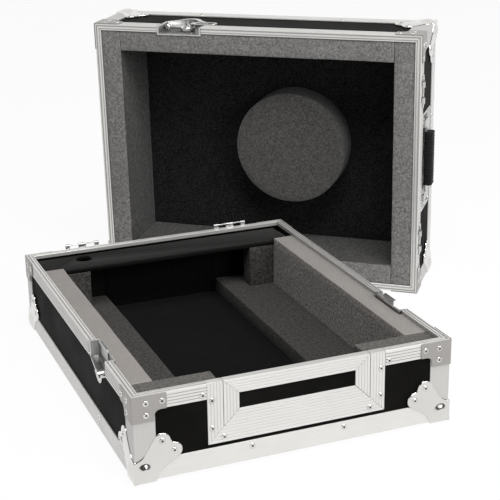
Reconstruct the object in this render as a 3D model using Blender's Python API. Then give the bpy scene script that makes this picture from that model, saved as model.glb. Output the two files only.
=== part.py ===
"""CD player flight case: a base that lies flat and a lid that stands on its side behind it.

Units are metres and +Z is up. Each half is modelled as a tub in its own frame: X across
the case, Y from front to back, Z from the closed face to the open rim. Two empties place
the tubs. On a wall, local X runs along the rim, local Y points to the rim (0 at its edge)
and local Z points out of the case (0 at the face of the edge trim).
"""
import math

import bmesh
import bpy
from mathutils import Matrix, Vector

# Outer size of the two halves
CASE_WIDTH = 0.415
CASE_DEPTH = 0.532
BASE_HEIGHT = 0.110
LID_HEIGHT = 0.120

# Clearance between touching pieces, and how far a cutter runs past what it cuts
GAP = 0.0003
CUT_OVER = 0.001

# Plywood panels and the aluminium trim that holds them
TRIM_LEG = 0.0016
TRIM_INNER_LEG = 0.0014
PANEL_THICKNESS = 0.0068
EDGE_LEG = 0.027
CORNER_LEG = 0.030
RIM_OUTER_HEIGHT = 0.020
RIM_INNER_HEIGHT = 0.0052

# Braces round the rim corners
BRACE_THICKNESS = 0.001
BRACE_LENGTH = 0.042
BRACE_BAND = 0.020
BRACE_DROP = 0.035
BRACE_ARM = 0.029
BRACE_FILLET = 0.006
BRACE_RIVET_NEAR = 0.0165
BRACE_RIVET_FAR = 0.036
BRACE_RIVET_TOP = 0.010
BRACE_RIVET_LOW = 0.025

# Ball corners, over the clipped corners of the case
BALL_OUT = 0.005
BALL_INSET = 0.0125
BALL_RADIUS = 0.0184
CORNER_CLIP = 0.010
BALL_PLATE_THICKNESS = 0.001
BALL_PLATE_RADIUS = 0.016
LOBE_RADIUS = 0.0085
LOBE_NEAR = 0.0345
LOBE_FAR = 0.049

# Rivet heads
RIVET_RADIUS = 0.0030
RIVET_TOP_RADIUS = 0.0016
RIVET_HEIGHT = 0.0008
RIVET_ROOT = 0.0004
RIVET_SHANK_RADIUS = 0.0016
RIVET_SIDES = 8
EDGE_RIVET_DROP = 0.0075
EDGE_RIVET_FROM_END = 0.147
POST_RIVET_SIDE = 0.0055
POST_RIVET_TOP = 0.0225
POST_RIVET_LOW = 0.0585
POST_RIM_RIVET_SIDE = 0.0055
POST_RIM_RIVET_DROP = 0.014
SILL_RIVET_DROP = 0.007

# Front hatch
HATCH_HALF = 0.096
HATCH_RAIL = 0.020
HATCH_TOP_RAIL = 0.0185
POST_WIDTH = 0.020
POST_WEB = 0.0014
POST_TONGUE_IN = 0.008
POST_TONGUE_OUT = 0.008
SILL_TOP = 0.071

# Foam of the base
SIDE_FOAM = 0.0315
FRONT_FOAM = 0.036
LEDGE_HEIGHT = 0.022
LEDGE_WIDTH = 0.077
SHELF_DEPTH = 0.058
SHELF_THICKNESS = 0.0065
SHELF_DROP = 0.009
SHELF_SIDE_GAP = 0.0080
SHELF_POST_WIDTH = 0.040
SHELF_POST_DEPTH = 0.028
CABLE_HOLE_RADIUS = 0.012
CABLE_HOLE_FROM_SIDE = 0.0815
CABLE_HOLE_FROM_BACK = 0.026

# Foam of the lid
LID_FOAM_IN = 0.0425
LID_FOAM_DROP = 0.0015
DISC_RADIUS = 0.092
DISC_THICKNESS = 0.046
DISC_FROM_BACK = 0.226

# Latches: a recessed dish in the lid, a keeper dish in the base
SIDE_LATCH_FROM_FRONT = 0.144
DISH_WALL = 0.0012
DISH_FLANGE = 0.0035
DISH_FLANGE_THICKNESS = 0.0008
DISH_DEPTH = 0.012
DISH_HALF = 0.0335
LATCH_STRAIGHT = 0.042
LATCH_NOSE = 0.012
LATCH_REACH = 0.068
KEEPER_STRAIGHT = 0.020
KEEPER_NOSE = 0.010
KEEPER_REACH = 0.036
LIP_HALF = 0.014
LIP_RISE = 0.0062
LIP_ROOT = 0.006
LIP_FOOT = 0.006
LIP_THICKNESS = 0.001
LIP_OFF_FLOOR = 0.0004
LIP_CURL = 0.0032

# Lift-off hinges at the back: knuckles with a pin on the base, a leaf with hooks on the lid
HINGE_FROM_SIDE = 0.0875
HINGE_HALF = 0.026
HINGE_LEAF_LOW = 0.0185
HINGE_THICKNESS = 0.001
HINGE_PIN_UP = 0.0045
HINGE_PIN_OUT = 0.0026
HINGE_PIN_RADIUS = 0.001
HINGE_KNUCKLE_RADIUS = 0.0022
HINGE_KNUCKLE_END = 0.007
HINGE_KNUCKLE_HALF = 0.006
HINGE_HOOK_NEAR = 0.0078
HINGE_HOOK_FAR = 0.0172
HINGE_HOOK_OUT = 0.0039
HINGE_HOOK_TIP = 0.0018
HINGE_HOOK_LIP = 0.0014
HINGE_HOOK_STEP = 0.0022
HINGE_HOOK_LEAF_TOP = 0.0088
HINGE_RIVET_SIDE = 0.019
HINGE_PIN_RIVET_DROP = 0.0115
HINGE_HOOK_RIVET_DROP = 0.0140

# Latch rotor and wing, about the rotor's pivot
PIVOT_DROP = 0.030
PIVOT_OFFSET = 0.0045
PIVOT_STUD_RADIUS = 0.003
PIVOT_STUD_TOP = -0.0056
ROTOR_RADIUS = 0.012
ROTOR_TOP = -0.0052
ARM_HALF = 0.0055
ARM_LOW = -0.0075
ARM_TOP = -0.0040
BARREL_RADIUS = 0.0042
BARREL_HALF = 0.007
BARREL_REACH = 0.0365
BARREL_HEIGHT = -0.0055
WING_AXIS_X = -0.006
WING_AXIS_Z = -0.0026
WING_KNUCKLE = 0.0022
WING_PIN = 0.00085
WING_PIN_BORE = 0.00125
WING_HALF = 0.009
WING_NECK_HALF = 0.0056
WING_NECK = 0.0055
WING_SHOULDER = 0.003
WING_LENGTH = 0.044
WING_LOW = -0.0005
WING_TOP = 0.0012
WING_SLOT_HALF = 0.0045
EAR_THICKNESS = 0.0022
EAR_HALF = 0.0025
EAR_TOP = -0.0008
EAR_ROOT = 0.001

# Recessed handle in the lid's back wall
HANDLE_HALF = 0.080
HANDLE_BORDER = 0.0040
HANDLE_EDGE_GAP = 0.0010
HANDLE_CORNER = 0.008
HANDLE_PIVOT_IN = 0.0145
HANDLE_PIVOT_Z = -0.0055
HANDLE_KNUCKLE = 0.0032
HANDLE_STUB = 0.0025
HANDLE_STUB_BORE = 0.0029
HANDLE_EAR_IN = 0.005
HANDLE_EAR = 0.004
HANDLE_EAR_HALF = 0.005
HANDLE_EAR_TOP = -0.0015
STRAP_REACH = 0.034
STRAP_LOW = -0.0025
STRAP_TOP = 0.0015
GRIP_HALF = 0.043
GRIP_WIDTH = 0.026
GRIP_THICKNESS = 0.014
GRIP_LOW = -0.0035
GRIP_CORNER = 0.005
GRIP_ARM = 0.025
CORE_HALF = 0.004

# Where the lid stands: its lower rim corner from the base's back right corner
LID_SHIFT_X = 0.1835
LID_SHIFT_Y = -0.1224
LID_TURN = math.radians(-39.7)

# Values worked out from the sizes above
PANEL_SET = TRIM_LEG + GAP
WALL_IN = PANEL_SET + PANEL_THICKNESS
INNER = WALL_IN + GAP
RIM_DEPTH = INNER + TRIM_INNER_LEG
BRACE_OUT = GAP + BRACE_THICKNESS
PLATE_OUT = GAP + BALL_PLATE_THICKNESS
HINGE_FROM_MIDDLE = CASE_WIDTH / 2 - HINGE_FROM_SIDE
DISH_FLANGE_Z = -PANEL_SET + GAP
DISH_TOP = DISH_FLANGE_Z + DISH_FLANGE_THICKNESS
HALF_WIDTH = CASE_WIDTH / 2
HALF_DEPTH = CASE_DEPTH / 2

# Colours of the finishes: red, green, blue, roughness, metallic
FINISHES = {
    "aluminium": (0.78, 0.78, 0.76, 0.35, 1.0),
    "laminate": (0.022, 0.021, 0.021, 0.45, 0.0),
    "foam_light": (0.28, 0.26, 0.25, 0.95, 0.0),
    "foam_dark": (0.10, 0.10, 0.10, 0.95, 0.0),
    "chrome": (0.80, 0.80, 0.80, 0.12, 1.0),
    "rubber": (0.020, 0.020, 0.022, 0.60, 0.0),
}

WALLS = {
    "left": (Vector((-1, 0, 0)), HALF_WIDTH, HALF_DEPTH),
    "right": (Vector((1, 0, 0)), HALF_WIDTH, HALF_DEPTH),
    "front": (Vector((0, -1, 0)), HALF_DEPTH, HALF_WIDTH),
    "back": (Vector((0, 1, 0)), HALF_DEPTH, HALF_WIDTH),
}
CORNERS = {
    "front_left": (-1, -1, 0),
    "front_right": (1, -1, 90),
    "back_right": (1, 1, 180),
    "back_left": (-1, 1, 270),
}
# Latches whose wing points along +X of their frame
TURNED_LATCHES = ("right",)

# Turns that put a flat plate (X along, Y up, Z out) on the faces at a corner
ON_FRONT = Matrix(((1, 0, 0, 0), (0, 0, -1, 0), (0, 1, 0, 0), (0, 0, 0, 1)))
ON_SIDE = Matrix(((0, 0, -1, 0), (1, 0, 0, 0), (0, 1, 0, 0), (0, 0, 0, 1)))
UNDER = Matrix(((1, 0, 0, 0), (0, 1, 0, 0), (0, 0, -1, 0), (0, 0, 0, 1)))
# Turn that lays a profile's Z along X
ALONG_X = Matrix(((0, 0, 1, 0), (1, 0, 0, 0), (0, 1, 0, 0), (0, 0, 0, 1)))


def clear_scene():
    for item in list(bpy.data.objects):
        bpy.data.objects.remove(item, do_unlink=True)


def make_collections():
    parts = bpy.data.collections.new("cd_player_flight_case")
    workshop = bpy.data.collections.new("cutters")
    bpy.context.scene.collection.children.link(parts)
    bpy.context.scene.collection.children.link(workshop)
    return parts, workshop


def make_material(name, finish):
    red, green, blue, roughness, metallic = FINISHES[finish]
    material = bpy.data.materials.new(name)
    material.use_nodes = True
    shader = material.node_tree.nodes["Principled BSDF"]
    shader.inputs["Base Color"].default_value = (red, green, blue, 1.0)
    shader.inputs["Roughness"].default_value = roughness
    shader.inputs["Metallic"].default_value = metallic
    return material


def add_part(name, mesh, finish, parent, smooth_angle=None):
    """Make the sub-part's object in the case's collection, under its frame."""
    mesh.name = name
    mesh.materials.clear()
    mesh.materials.append(make_material(name, finish))
    if smooth_angle:
        mesh.shade_smooth()
        mesh.set_sharp_from_angle(angle=math.radians(smooth_angle))
    part = bpy.data.objects.new(name, mesh)
    PARTS.objects.link(part)
    part.parent = parent
    return part


def add_frame(name, parent, matrix):
    """Make an empty that carries the parts of a tub or of a moving piece."""
    empty = bpy.data.objects.new(name, None)
    PARTS.objects.link(empty)
    empty.parent = parent
    empty.matrix_local = matrix
    return empty


def mesh_from(bm, name="piece"):
    """Turn a bmesh into a mesh with its faces pointing out."""
    bmesh.ops.recalc_face_normals(bm, faces=bm.faces[:])
    mesh = bpy.data.meshes.new(name)
    bm.to_mesh(mesh)
    bm.free()
    return mesh


def box(low, high):
    size = Vector(high) - Vector(low)
    middle = (Vector(high) + Vector(low)) / 2
    bm = bmesh.new()
    place = Matrix.Translation(middle) @ Matrix.Diagonal((size.x, size.y, size.z, 1.0))
    bmesh.ops.create_cube(bm, size=1.0, matrix=place)
    return mesh_from(bm)


def cylinder(radius, low, high, axis, sides, top_radius=None):
    """Make a cylinder or cone along X, Y or Z, from low to high on that axis."""
    turns = {
        "X": Matrix.Rotation(math.pi / 2, 4, "Y"),
        "Y": Matrix.Rotation(-math.pi / 2, 4, "X"),
        "Z": Matrix.Identity(4),
    }
    bm = bmesh.new()
    shift = Matrix.Translation((0, 0, (low + high) / 2))
    bmesh.ops.create_cone(
        bm,
        cap_ends=True,
        segments=sides,
        radius1=radius,
        radius2=radius if top_radius is None else top_radius,
        depth=high - low,
        matrix=turns[axis] @ shift,
    )
    return mesh_from(bm)


def prism(loops, low, high):
    """Extrude a flat outline, with any holes, from low to high along Z."""
    curve = bpy.data.curves.new("outline", "CURVE")
    curve.dimensions = "2D"
    curve.fill_mode = "BOTH"
    curve.extrude = (high - low) / 2
    for loop in loops:
        spline = curve.splines.new("POLY")
        spline.points.add(len(loop) - 1)
        spline.use_cyclic_u = True
        for point, place in zip(spline.points, loop):
            point.co = (place[0], place[1], 0.0, 1.0)
    holder = bpy.data.objects.new("outline", curve)
    WORKSHOP.objects.link(holder)
    bpy.context.view_layer.update()
    depsgraph = bpy.context.evaluated_depsgraph_get()
    mesh = bpy.data.meshes.new_from_object(holder.evaluated_get(depsgraph))
    bpy.data.objects.remove(holder, do_unlink=True)
    bm = bmesh.new()
    bm.from_mesh(mesh)
    bmesh.ops.remove_doubles(bm, verts=bm.verts[:], dist=0.000001)
    bmesh.ops.translate(bm, verts=bm.verts[:], vec=(0, 0, (high + low) / 2))
    return mesh_from(bm)


def moved(mesh, matrix):
    """Return a moved copy of a mesh, with its faces still pointing out if it is mirrored."""
    copy = mesh.copy()
    copy.transform(matrix)
    if matrix.determinant() < 0:
        copy.flip_normals()
    return copy


def merged(meshes):
    """Put bodies that don't touch into one mesh, to use them as one cutter or one addition."""
    bm = bmesh.new()
    for mesh in meshes:
        bm.from_mesh(mesh)
    result = bpy.data.meshes.new("group")
    bm.to_mesh(result)
    bm.free()
    return result


def combined(mesh, tools, operation):
    """Cut, join or intersect a mesh with others, one after the other."""
    body = bpy.data.objects.new("body", mesh)
    WORKSHOP.objects.link(body)
    helpers = []
    for tool_mesh in tools:
        helper = bpy.data.objects.new("cutter", tool_mesh)
        helper.hide_render = True
        helper.display_type = "WIRE"
        WORKSHOP.objects.link(helper)
        helpers.append(helper)
        boolean = body.modifiers.new(operation.lower(), "BOOLEAN")
        boolean.operation = operation
        boolean.solver = "EXACT"
        boolean.object = helper
    bpy.context.view_layer.update()
    depsgraph = bpy.context.evaluated_depsgraph_get()
    result = bpy.data.meshes.new_from_object(body.evaluated_get(depsgraph))
    for item in [body] + helpers:
        bpy.data.objects.remove(item, do_unlink=True)
    return result


def split_bodies(mesh):
    """Split a mesh into its separate bodies, each with the middle of its box."""
    bm = bmesh.new()
    bm.from_mesh(mesh)
    left_over = set(bm.verts)
    bodies = []
    while left_over:
        found = {left_over.pop()}
        waiting = list(found)
        while waiting:
            vert = waiting.pop()
            near = {edge.other_vert(vert) for edge in vert.link_edges}
            waiting += near - found
            found |= near
        left_over -= found
        body = bm.copy()
        keep = {vert.index for vert in found}
        body.verts.ensure_lookup_table()
        lost = [vert for vert in body.verts if vert.index not in keep]
        bmesh.ops.delete(body, geom=lost, context="VERTS")
        low = Vector(map(min, zip(*(vert.co for vert in body.verts))))
        high = Vector(map(max, zip(*(vert.co for vert in body.verts))))
        bodies.append((mesh_from(body), (low + high) / 2))
    bm.free()
    return bodies


def arc(centre, radius, start, end, steps):
    """Points on a circle from one angle to another, in degrees."""
    points = []
    for step in range(steps + 1):
        angle = math.radians(start + (end - start) * step / steps)
        points.append((centre[0] + radius * math.cos(angle), centre[1] + radius * math.sin(angle)))
    return points


def rounded_rectangle(half_x, half_y, radius, steps=3):
    points = []
    for turn, (side_x, side_y) in enumerate(((1, 1), (-1, 1), (-1, -1), (1, -1))):
        centre = (side_x * (half_x - radius), side_y * (half_y - radius))
        points += arc(centre, radius, 90 * turn, 90 * turn + 90, steps)
    return points


def shield(half, straight, nose, reach, top):
    """Outline of a latch dish: straight sides from the rim, then a taper to a round nose."""
    nose_arc = arc((0, -reach + nose), nose, -15, -165, 6)
    return [(half, top), (half, -straight)] + nose_arc + [(-half, -straight), (-half, top)]


def wall_frame(side, height):
    """Frame on a wall's rim: X along it, Y to the rim, Z out of the case."""
    out, distance, _ = WALLS[side]
    up = Vector((0, 0, 1))
    along = up.cross(out)
    frame = Matrix((along, up, out)).transposed().to_4x4()
    frame.translation = out * distance + up * height
    return frame


def corner_frames(height):
    """Frames at the four corners, X and Y pointing inwards along the walls."""
    frames = {}
    for name, (side_x, side_y, turn) in CORNERS.items():
        shift = Matrix.Translation((side_x * HALF_WIDTH, side_y * HALF_DEPTH, height))
        frames[name] = shift @ Matrix.Rotation(math.radians(turn), 4, "Z")
    return frames


def latch_frames(height):
    """Frames of the latches on the side walls of a tub of this height."""
    along_side = HALF_DEPTH - SIDE_LATCH_FROM_FRONT
    return {
        "left": wall_frame("left", height) @ Matrix.Translation((along_side, 0, 0)),
        "right": wall_frame("right", height) @ Matrix.Translation((-along_side, 0, 0)),
    }


def hinge_frames(height):
    """Frames of the lift-off hinges on the back wall of a tub of this height."""
    back = wall_frame("back", height)
    return {
        "left": back @ Matrix.Translation((HINGE_FROM_MIDDLE, 0, 0)),
        "right": back @ Matrix.Translation((-HINGE_FROM_MIDDLE, 0, 0)),
    }


def ring(outer, inner, low, high):
    """A rectangular ring between two insets from the case's sides."""
    loops = []
    for inset in (outer, inner):
        x = HALF_WIDTH - inset
        y = HALF_DEPTH - inset
        loops.append([(-x, -y), (x, -y), (x, y), (-x, y)])
    return prism(loops, low, high)


def corner_clip(shrink):
    """Cutter that takes the tip off a corner, in the corner's frame, less a clearance."""
    over = CUT_OVER
    far = CORNER_CLIP - shrink * math.sqrt(3) + 2 * over
    bm = bmesh.new()
    for place in ((-over,) * 3, (far, -over, -over), (-over, far, -over), (-over, -over, far)):
        bm.verts.new(place)
    bmesh.ops.convex_hull(bm, input=bm.verts[:])
    return mesh_from(bm)


def clipped(mesh):
    """Take the tips off the four corners of the closed face, where the balls sit."""
    tips = [moved(corner_clip(0), frame) for frame in corner_frames(0).values()]
    return combined(mesh, [merged(tips)], "DIFFERENCE")


def latch_cut(reach, straight, nose):
    """Cutter for the hole that a dish needs in its panel."""
    grow = DISH_WALL + GAP
    outline = shield(DISH_HALF + grow, straight, nose + grow, reach + grow, CUT_OVER)
    return prism([outline], -DISH_DEPTH - grow, CUT_OVER)


def rim_cut():
    """Cutter that opens the rim for a dish."""
    half = DISH_HALF + DISH_FLANGE + GAP
    low = (-half, -RIM_OUTER_HEIGHT - CUT_OVER, -RIM_DEPTH - CUT_OVER)
    return box(low, (half, CUT_OVER, CUT_OVER))


def pocket_cut(reach):
    """Cutter for the pocket in the foam behind a dish."""
    half = DISH_HALF + DISH_WALL + GAP
    low = (-half, -reach - DISH_WALL - GAP, -DISH_DEPTH - DISH_WALL - GAP)
    return box(low, (half, RIM_OUTER_HEIGHT, 0))


def build_panels(prefix, height, parent, holes):
    """The five plywood panels of a tub: the closed face, and the walls that stand on it."""
    side_x = HALF_WIDTH - PANEL_SET
    side_y = HALF_DEPTH - PANEL_SET
    floor_name = "bottom" if prefix == "base" else "top"
    floor_mesh = clipped(box((-side_x, -side_y, PANEL_SET), (side_x, side_y, WALL_IN)))
    add_part(f"{prefix}_{floor_name}_panel", floor_mesh, "laminate", parent)
    top = height - PANEL_SET
    inner_x = HALF_WIDTH - INNER
    walls = {
        "left": box((-side_x, -side_y, INNER), (-side_x + PANEL_THICKNESS, side_y, top)),
        "right": box((side_x - PANEL_THICKNESS, -side_y, INNER), (side_x, side_y, top)),
        "front": box((-inner_x, -side_y, INNER), (inner_x, -side_y + PANEL_THICKNESS, top)),
        "back": box((-inner_x, side_y - PANEL_THICKNESS, INNER), (inner_x, side_y, top)),
    }
    for side, mesh in walls.items():
        if holes[side]:
            mesh = combined(mesh, [merged(holes[side])], "DIFFERENCE")
        add_part(f"{prefix}_{side}_panel", mesh, "laminate", parent)


def rivet_head():
    """A low rivet head that stands on Z = 0, with a root to join it to its plate."""
    return cylinder(RIVET_RADIUS, -RIVET_ROOT, RIVET_HEIGHT, "Z", RIVET_SIDES, RIVET_TOP_RADIUS)


def build_edge_frame(name, height, parent):
    """The angles round the closed face and up the corners, as a tub with its faces cut open."""
    half_x = HALF_WIDTH
    half_y = HALF_DEPTH
    top = height - RIM_OUTER_HEIGHT - GAP
    over = CUT_OVER
    body = box((-half_x, -half_y, 0), (half_x, half_y, top))
    inner_x = half_x - TRIM_LEG
    inner_y = half_y - TRIM_LEG
    hollow = box((-inner_x, -inner_y, TRIM_LEG), (inner_x, inner_y, top + over))
    face_x = half_x - EDGE_LEG
    face_y = half_y - EDGE_LEG
    face = box((-face_x, -face_y, -over), (face_x, face_y, TRIM_LEG + over))
    wide = half_x - CORNER_LEG
    long = half_y - CORNER_LEG
    ends = box((-wide, -half_y - over, EDGE_LEG), (wide, half_y + over, top + over))
    sides = box((-half_x - over, -long, EDGE_LEG), (half_x + over, long, top + over))
    body = clipped(combined(body, [hollow, face, ends, sides], "DIFFERENCE"))
    heads = []
    for side in WALLS:
        half = WALLS[side][2]
        for along in (EDGE_RIVET_FROM_END - half, half - EDGE_RIVET_FROM_END):
            place = Matrix.Translation((along, EDGE_LEG - EDGE_RIVET_DROP - height, 0))
            heads.append(moved(rivet_head(), wall_frame(side, height) @ place))
    add_part(name, combined(body, [merged(heads)], "UNION"), "aluminium", parent, 30)


def rim_bodies(height, cutters):
    """The rim channel round the walls' top edges, cut into lengths."""
    over = CUT_OVER
    low = height - RIM_OUTER_HEIGHT
    whole = ring(0, RIM_DEPTH, low, height)
    groove = ring(TRIM_LEG, INNER, low - over, height - TRIM_LEG)
    short = ring(INNER - over, RIM_DEPTH + over, low - over, height - RIM_INNER_HEIGHT)
    whole = combined(whole, [groove, short, merged(cutters)], "DIFFERENCE")
    named = {}
    for mesh, middle in split_bodies(whole):
        words = ["front" if middle.y < 0 else "back"]
        if abs(middle.x) > CASE_WIDTH / 8:
            words.append("left" if middle.x < 0 else "right")
        named["_".join(words)] = mesh
    return named


def brace():
    """A flat L brace bent round a rim corner with its six rivets, in the corner's frame."""
    fillet = arc(
        (BRACE_ARM + BRACE_FILLET, -BRACE_BAND - BRACE_FILLET), BRACE_FILLET, 90, 180, 3
    )
    face = [(-BRACE_OUT, 0), (BRACE_LENGTH, 0), (BRACE_LENGTH, -BRACE_BAND)] + fillet
    face += [(BRACE_ARM, -BRACE_DROP), (-BRACE_OUT, -BRACE_DROP)]
    plate = prism([face], GAP, BRACE_OUT)
    spots = (
        (BRACE_RIVET_NEAR, BRACE_RIVET_TOP),
        (BRACE_RIVET_FAR, BRACE_RIVET_TOP),
        (BRACE_RIVET_NEAR, BRACE_RIVET_LOW),
    )
    heads = []
    shanks = []
    for across, drop in spots:
        heads.append(moved(rivet_head(), Matrix.Translation((across, -drop, BRACE_OUT))))
        if drop < BRACE_BAND:
            root = BRACE_OUT - RIVET_ROOT / 2
            shank = cylinder(RIVET_SHANK_RADIUS, -TRIM_LEG / 2, root, "Z", RIVET_SIDES)
            shanks.append(moved(shank, Matrix.Translation((across, -drop, 0))))
    plate = combined(plate, [merged(heads), merged(shanks)], "UNION")
    return combined(moved(plate, ON_FRONT), [moved(plate, ON_SIDE)], "UNION")


def build_rims(prefix, height, parent, cutters):
    """The rim's lengths, each with the braces riveted round its corners."""
    frames = corner_frames(height)
    front = wall_frame("front", height)
    for words, mesh in rim_bodies(height, cutters).items():
        corners = [words]
        if words in ("front", "back"):
            corners = [f"{words}_left", f"{words}_right"]
        additions = [moved(BRACE, frames[corner]) for corner in corners]
        if prefix == "base" and words.startswith("front"):
            side = -1 if words.endswith("left") else 1
            across = side * (HATCH_HALF + POST_WIDTH + POST_RIM_RIVET_SIDE)
            place = Matrix.Translation((across, -POST_RIM_RIVET_DROP, 0))
            additions.append(moved(rivet_head(), front @ place))
        if additions:
            mesh = combined(mesh, additions, "UNION")
        add_part(f"{prefix}_rim_{words}", mesh, "aluminium", parent, 30)


def ball_corner():
    """A ball corner with a two-lobed plate on each of its three faces, in the corner's frame."""
    bm = bmesh.new()
    middle = Matrix.Translation((BALL_INSET,) * 3)
    bmesh.ops.create_uvsphere(bm, u_segments=16, v_segments=10, radius=BALL_RADIUS, matrix=middle)
    ball = mesh_from(bm)
    reach = BALL_INSET + BALL_RADIUS + CUT_OVER
    ball = combined(ball, [box((-BALL_OUT,) * 3, (reach,) * 3)], "INTERSECT")

    centre = (BALL_INSET, BALL_INSET)
    way = math.degrees(math.atan2(LOBE_NEAR - BALL_INSET, LOBE_FAR - BALL_INSET))
    distance = math.hypot(LOBE_FAR - BALL_INSET, LOBE_NEAR - BALL_INSET)
    spread = math.degrees(math.acos((BALL_PLATE_RADIUS - LOBE_RADIUS) / distance))
    outline = arc((LOBE_FAR, LOBE_NEAR), LOBE_RADIUS, way - spread, 130, 5)
    outline += arc((LOBE_NEAR, LOBE_FAR), LOBE_RADIUS, -40, 90 - way + spread, 5)
    outline += arc(centre, BALL_PLATE_RADIUS, 90 - way + spread, 360 + way - spread, 4)
    plate = prism([outline], 0, PLATE_OUT)
    heads = []
    for across, up in ((LOBE_FAR, LOBE_NEAR), (LOBE_NEAR, LOBE_FAR)):
        heads.append(moved(rivet_head(), Matrix.Translation((across, up, PLATE_OUT))))
    plate = combined(plate, [merged(heads)], "UNION")
    plates = [moved(plate, ON_FRONT), moved(plate, ON_SIDE), moved(plate, UNDER)]
    whole = combined(ball, plates, "UNION")
    case = combined(box((-GAP,) * 3, (CASE_WIDTH / 2,) * 3), [corner_clip(GAP)], "DIFFERENCE")
    return combined(whole, [case], "DIFFERENCE")


def dish(straight, nose, reach):
    """A recessed latch dish with its flange, in a latch's frame, open at the rim."""
    edge = -GAP / 2
    wall = DISH_WALL
    pan = shield(DISH_HALF + wall, straight, nose + wall, reach + wall, edge)
    border = DISH_FLANGE
    flange = shield(DISH_HALF + border, straight, nose + border, reach + border, edge)
    recess = shield(DISH_HALF, straight, nose, reach, CUT_OVER)
    body = prism([pan], -DISH_DEPTH - wall, DISH_TOP)
    body = combined(body, [prism([flange], DISH_FLANGE_Z, DISH_TOP)], "UNION")
    return combined(body, [prism([recess], -DISH_DEPTH, CUT_OVER)], "DIFFERENCE")


def keeper():
    """The base's half of a latch: a dish with a lip that the rotor's barrel hooks under."""
    body = dish(KEEPER_STRAIGHT, KEEPER_NOSE, KEEPER_REACH)
    back = -DISH_DEPTH + LIP_OFF_FLOOR
    face = back + LIP_THICKNESS
    root = -DISH_DEPTH - DISH_WALL / 2
    low = -LIP_ROOT - LIP_FOOT
    upright = box((-LIP_HALF, low, back), (LIP_HALF, LIP_RISE, face))
    foot = box((-LIP_HALF, low, root), (LIP_HALF, -LIP_ROOT, back + LIP_THICKNESS / 2))
    curl_low = LIP_RISE - LIP_THICKNESS
    curl = box((-LIP_HALF, curl_low, face - LIP_THICKNESS / 2), (LIP_HALF, LIP_RISE, face + LIP_CURL))
    return combined(body, [foot, upright, curl], "UNION")


def hinge_leaf(top, rivet_drop):
    """A hinge's leaf on the rim, up to a height, with its three rivets."""
    face = GAP + HINGE_THICKNESS
    leaf = box((-HINGE_HALF, -HINGE_LEAF_LOW, GAP), (HINGE_HALF, top, face))
    heads = []
    for across in (-HINGE_RIVET_SIDE, 0, HINGE_RIVET_SIDE):
        heads.append(moved(rivet_head(), Matrix.Translation((across, -rivet_drop, face))))
    return combined(leaf, [merged(heads)], "UNION")


def hinge_pin():
    """The base's half of a hinge: three knuckles that stand above the rim, and their pin."""
    face = GAP + HINGE_THICKNESS
    axis = Matrix.Translation((0, HINGE_PIN_UP, HINGE_PIN_OUT))
    end = HINGE_HALF - HINGE_KNUCKLE_END
    spans = ((-HINGE_HALF, -end), (-HINGE_KNUCKLE_HALF, HINGE_KNUCKLE_HALF), (end, HINGE_HALF))
    body = hinge_leaf(-GAP, HINGE_PIN_RIVET_DROP)
    for low, high in spans:
        strap = box((low, -HINGE_KNUCKLE_RADIUS, GAP), (high, HINGE_PIN_UP, face))
        knuckle = moved(cylinder(HINGE_KNUCKLE_RADIUS, low, high, "X", 16), axis)
        body = combined(body, [strap, knuckle], "UNION")
    half = HINGE_HALF - HINGE_THICKNESS
    pin = moved(cylinder(HINGE_PIN_RADIUS, -half, half, "X", 12), axis)
    return combined(body, [pin], "UNION")


def hinge_hook():
    """The lid's half of a hinge: a leaf with two hooks that reach round the base's pin."""
    body = hinge_leaf(-HINGE_HOOK_LEAF_TOP, HINGE_HOOK_RIVET_DROP)
    out = HINGE_HOOK_OUT + HINGE_THICKNESS
    step = HINGE_HOOK_LEAF_TOP + HINGE_THICKNESS
    for side in (-1, 1):
        low, high = sorted((side * HINGE_HOOK_NEAR, side * HINGE_HOOK_FAR))
        riser = box((low, -step, GAP), (high, HINGE_HOOK_STEP - step, out))
        plate = box((low, -step, HINGE_HOOK_OUT), (high, -HINGE_HOOK_TIP, out))
        lip_low = -HINGE_HOOK_TIP - HINGE_THICKNESS
        lip = box((low, lip_low, HINGE_HOOK_LIP), (high, -HINGE_HOOK_TIP, out))
        body = combined(body, [riser, plate, lip], "UNION")
    return body


def latch_dish(offset):
    """The lid's half of a latch: a dish with the stud that the rotor turns on."""
    stud = cylinder(PIVOT_STUD_RADIUS, -DISH_DEPTH - DISH_WALL / 2, PIVOT_STUD_TOP, "Z", 16)
    stud = moved(stud, Matrix.Translation((offset, -PIVOT_DROP, 0)))
    return combined(dish(LATCH_STRAIGHT, LATCH_NOSE, LATCH_REACH), [stud], "UNION")


def rotor():
    """The turning plate of a latch: disc, arm with its hook barrel, and the wing's ears."""
    low = -DISH_DEPTH + GAP
    disc = cylinder(ROTOR_RADIUS, low, ROTOR_TOP, "Z", 24)
    barrel_x = BARREL_REACH - BARREL_RADIUS
    arm = box((0, -ARM_HALF, ARM_LOW), (barrel_x, ARM_HALF, ARM_TOP))
    barrel = cylinder(BARREL_RADIUS, -BARREL_HALF, BARREL_HALF, "Y", 12)
    barrel = moved(barrel, Matrix.Translation((barrel_x, 0, BARREL_HEIGHT)))
    ear_in = WING_NECK_HALF + GAP
    ears = []
    for side in (-1, 1):
        ends = sorted((side * ear_in, side * (ear_in + EAR_THICKNESS)))
        low_corner = (WING_AXIS_X - EAR_HALF, ends[0], ROTOR_TOP - EAR_ROOT)
        ears.append(box(low_corner, (WING_AXIS_X + EAR_HALF, ends[1], EAR_TOP)))
    pin_half = ear_in + EAR_THICKNESS / 2
    pin = cylinder(WING_PIN, -pin_half, pin_half, "Y", 12)
    pin = moved(pin, Matrix.Translation((WING_AXIS_X, 0, WING_AXIS_Z)))
    body = combined(disc, [arm, barrel] + ears + [pin], "UNION")
    bore = cylinder(PIVOT_STUD_RADIUS + GAP, low - GAP, ARM_TOP + GAP, "Z", 16)
    return combined(body, [bore], "DIFFERENCE")


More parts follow.
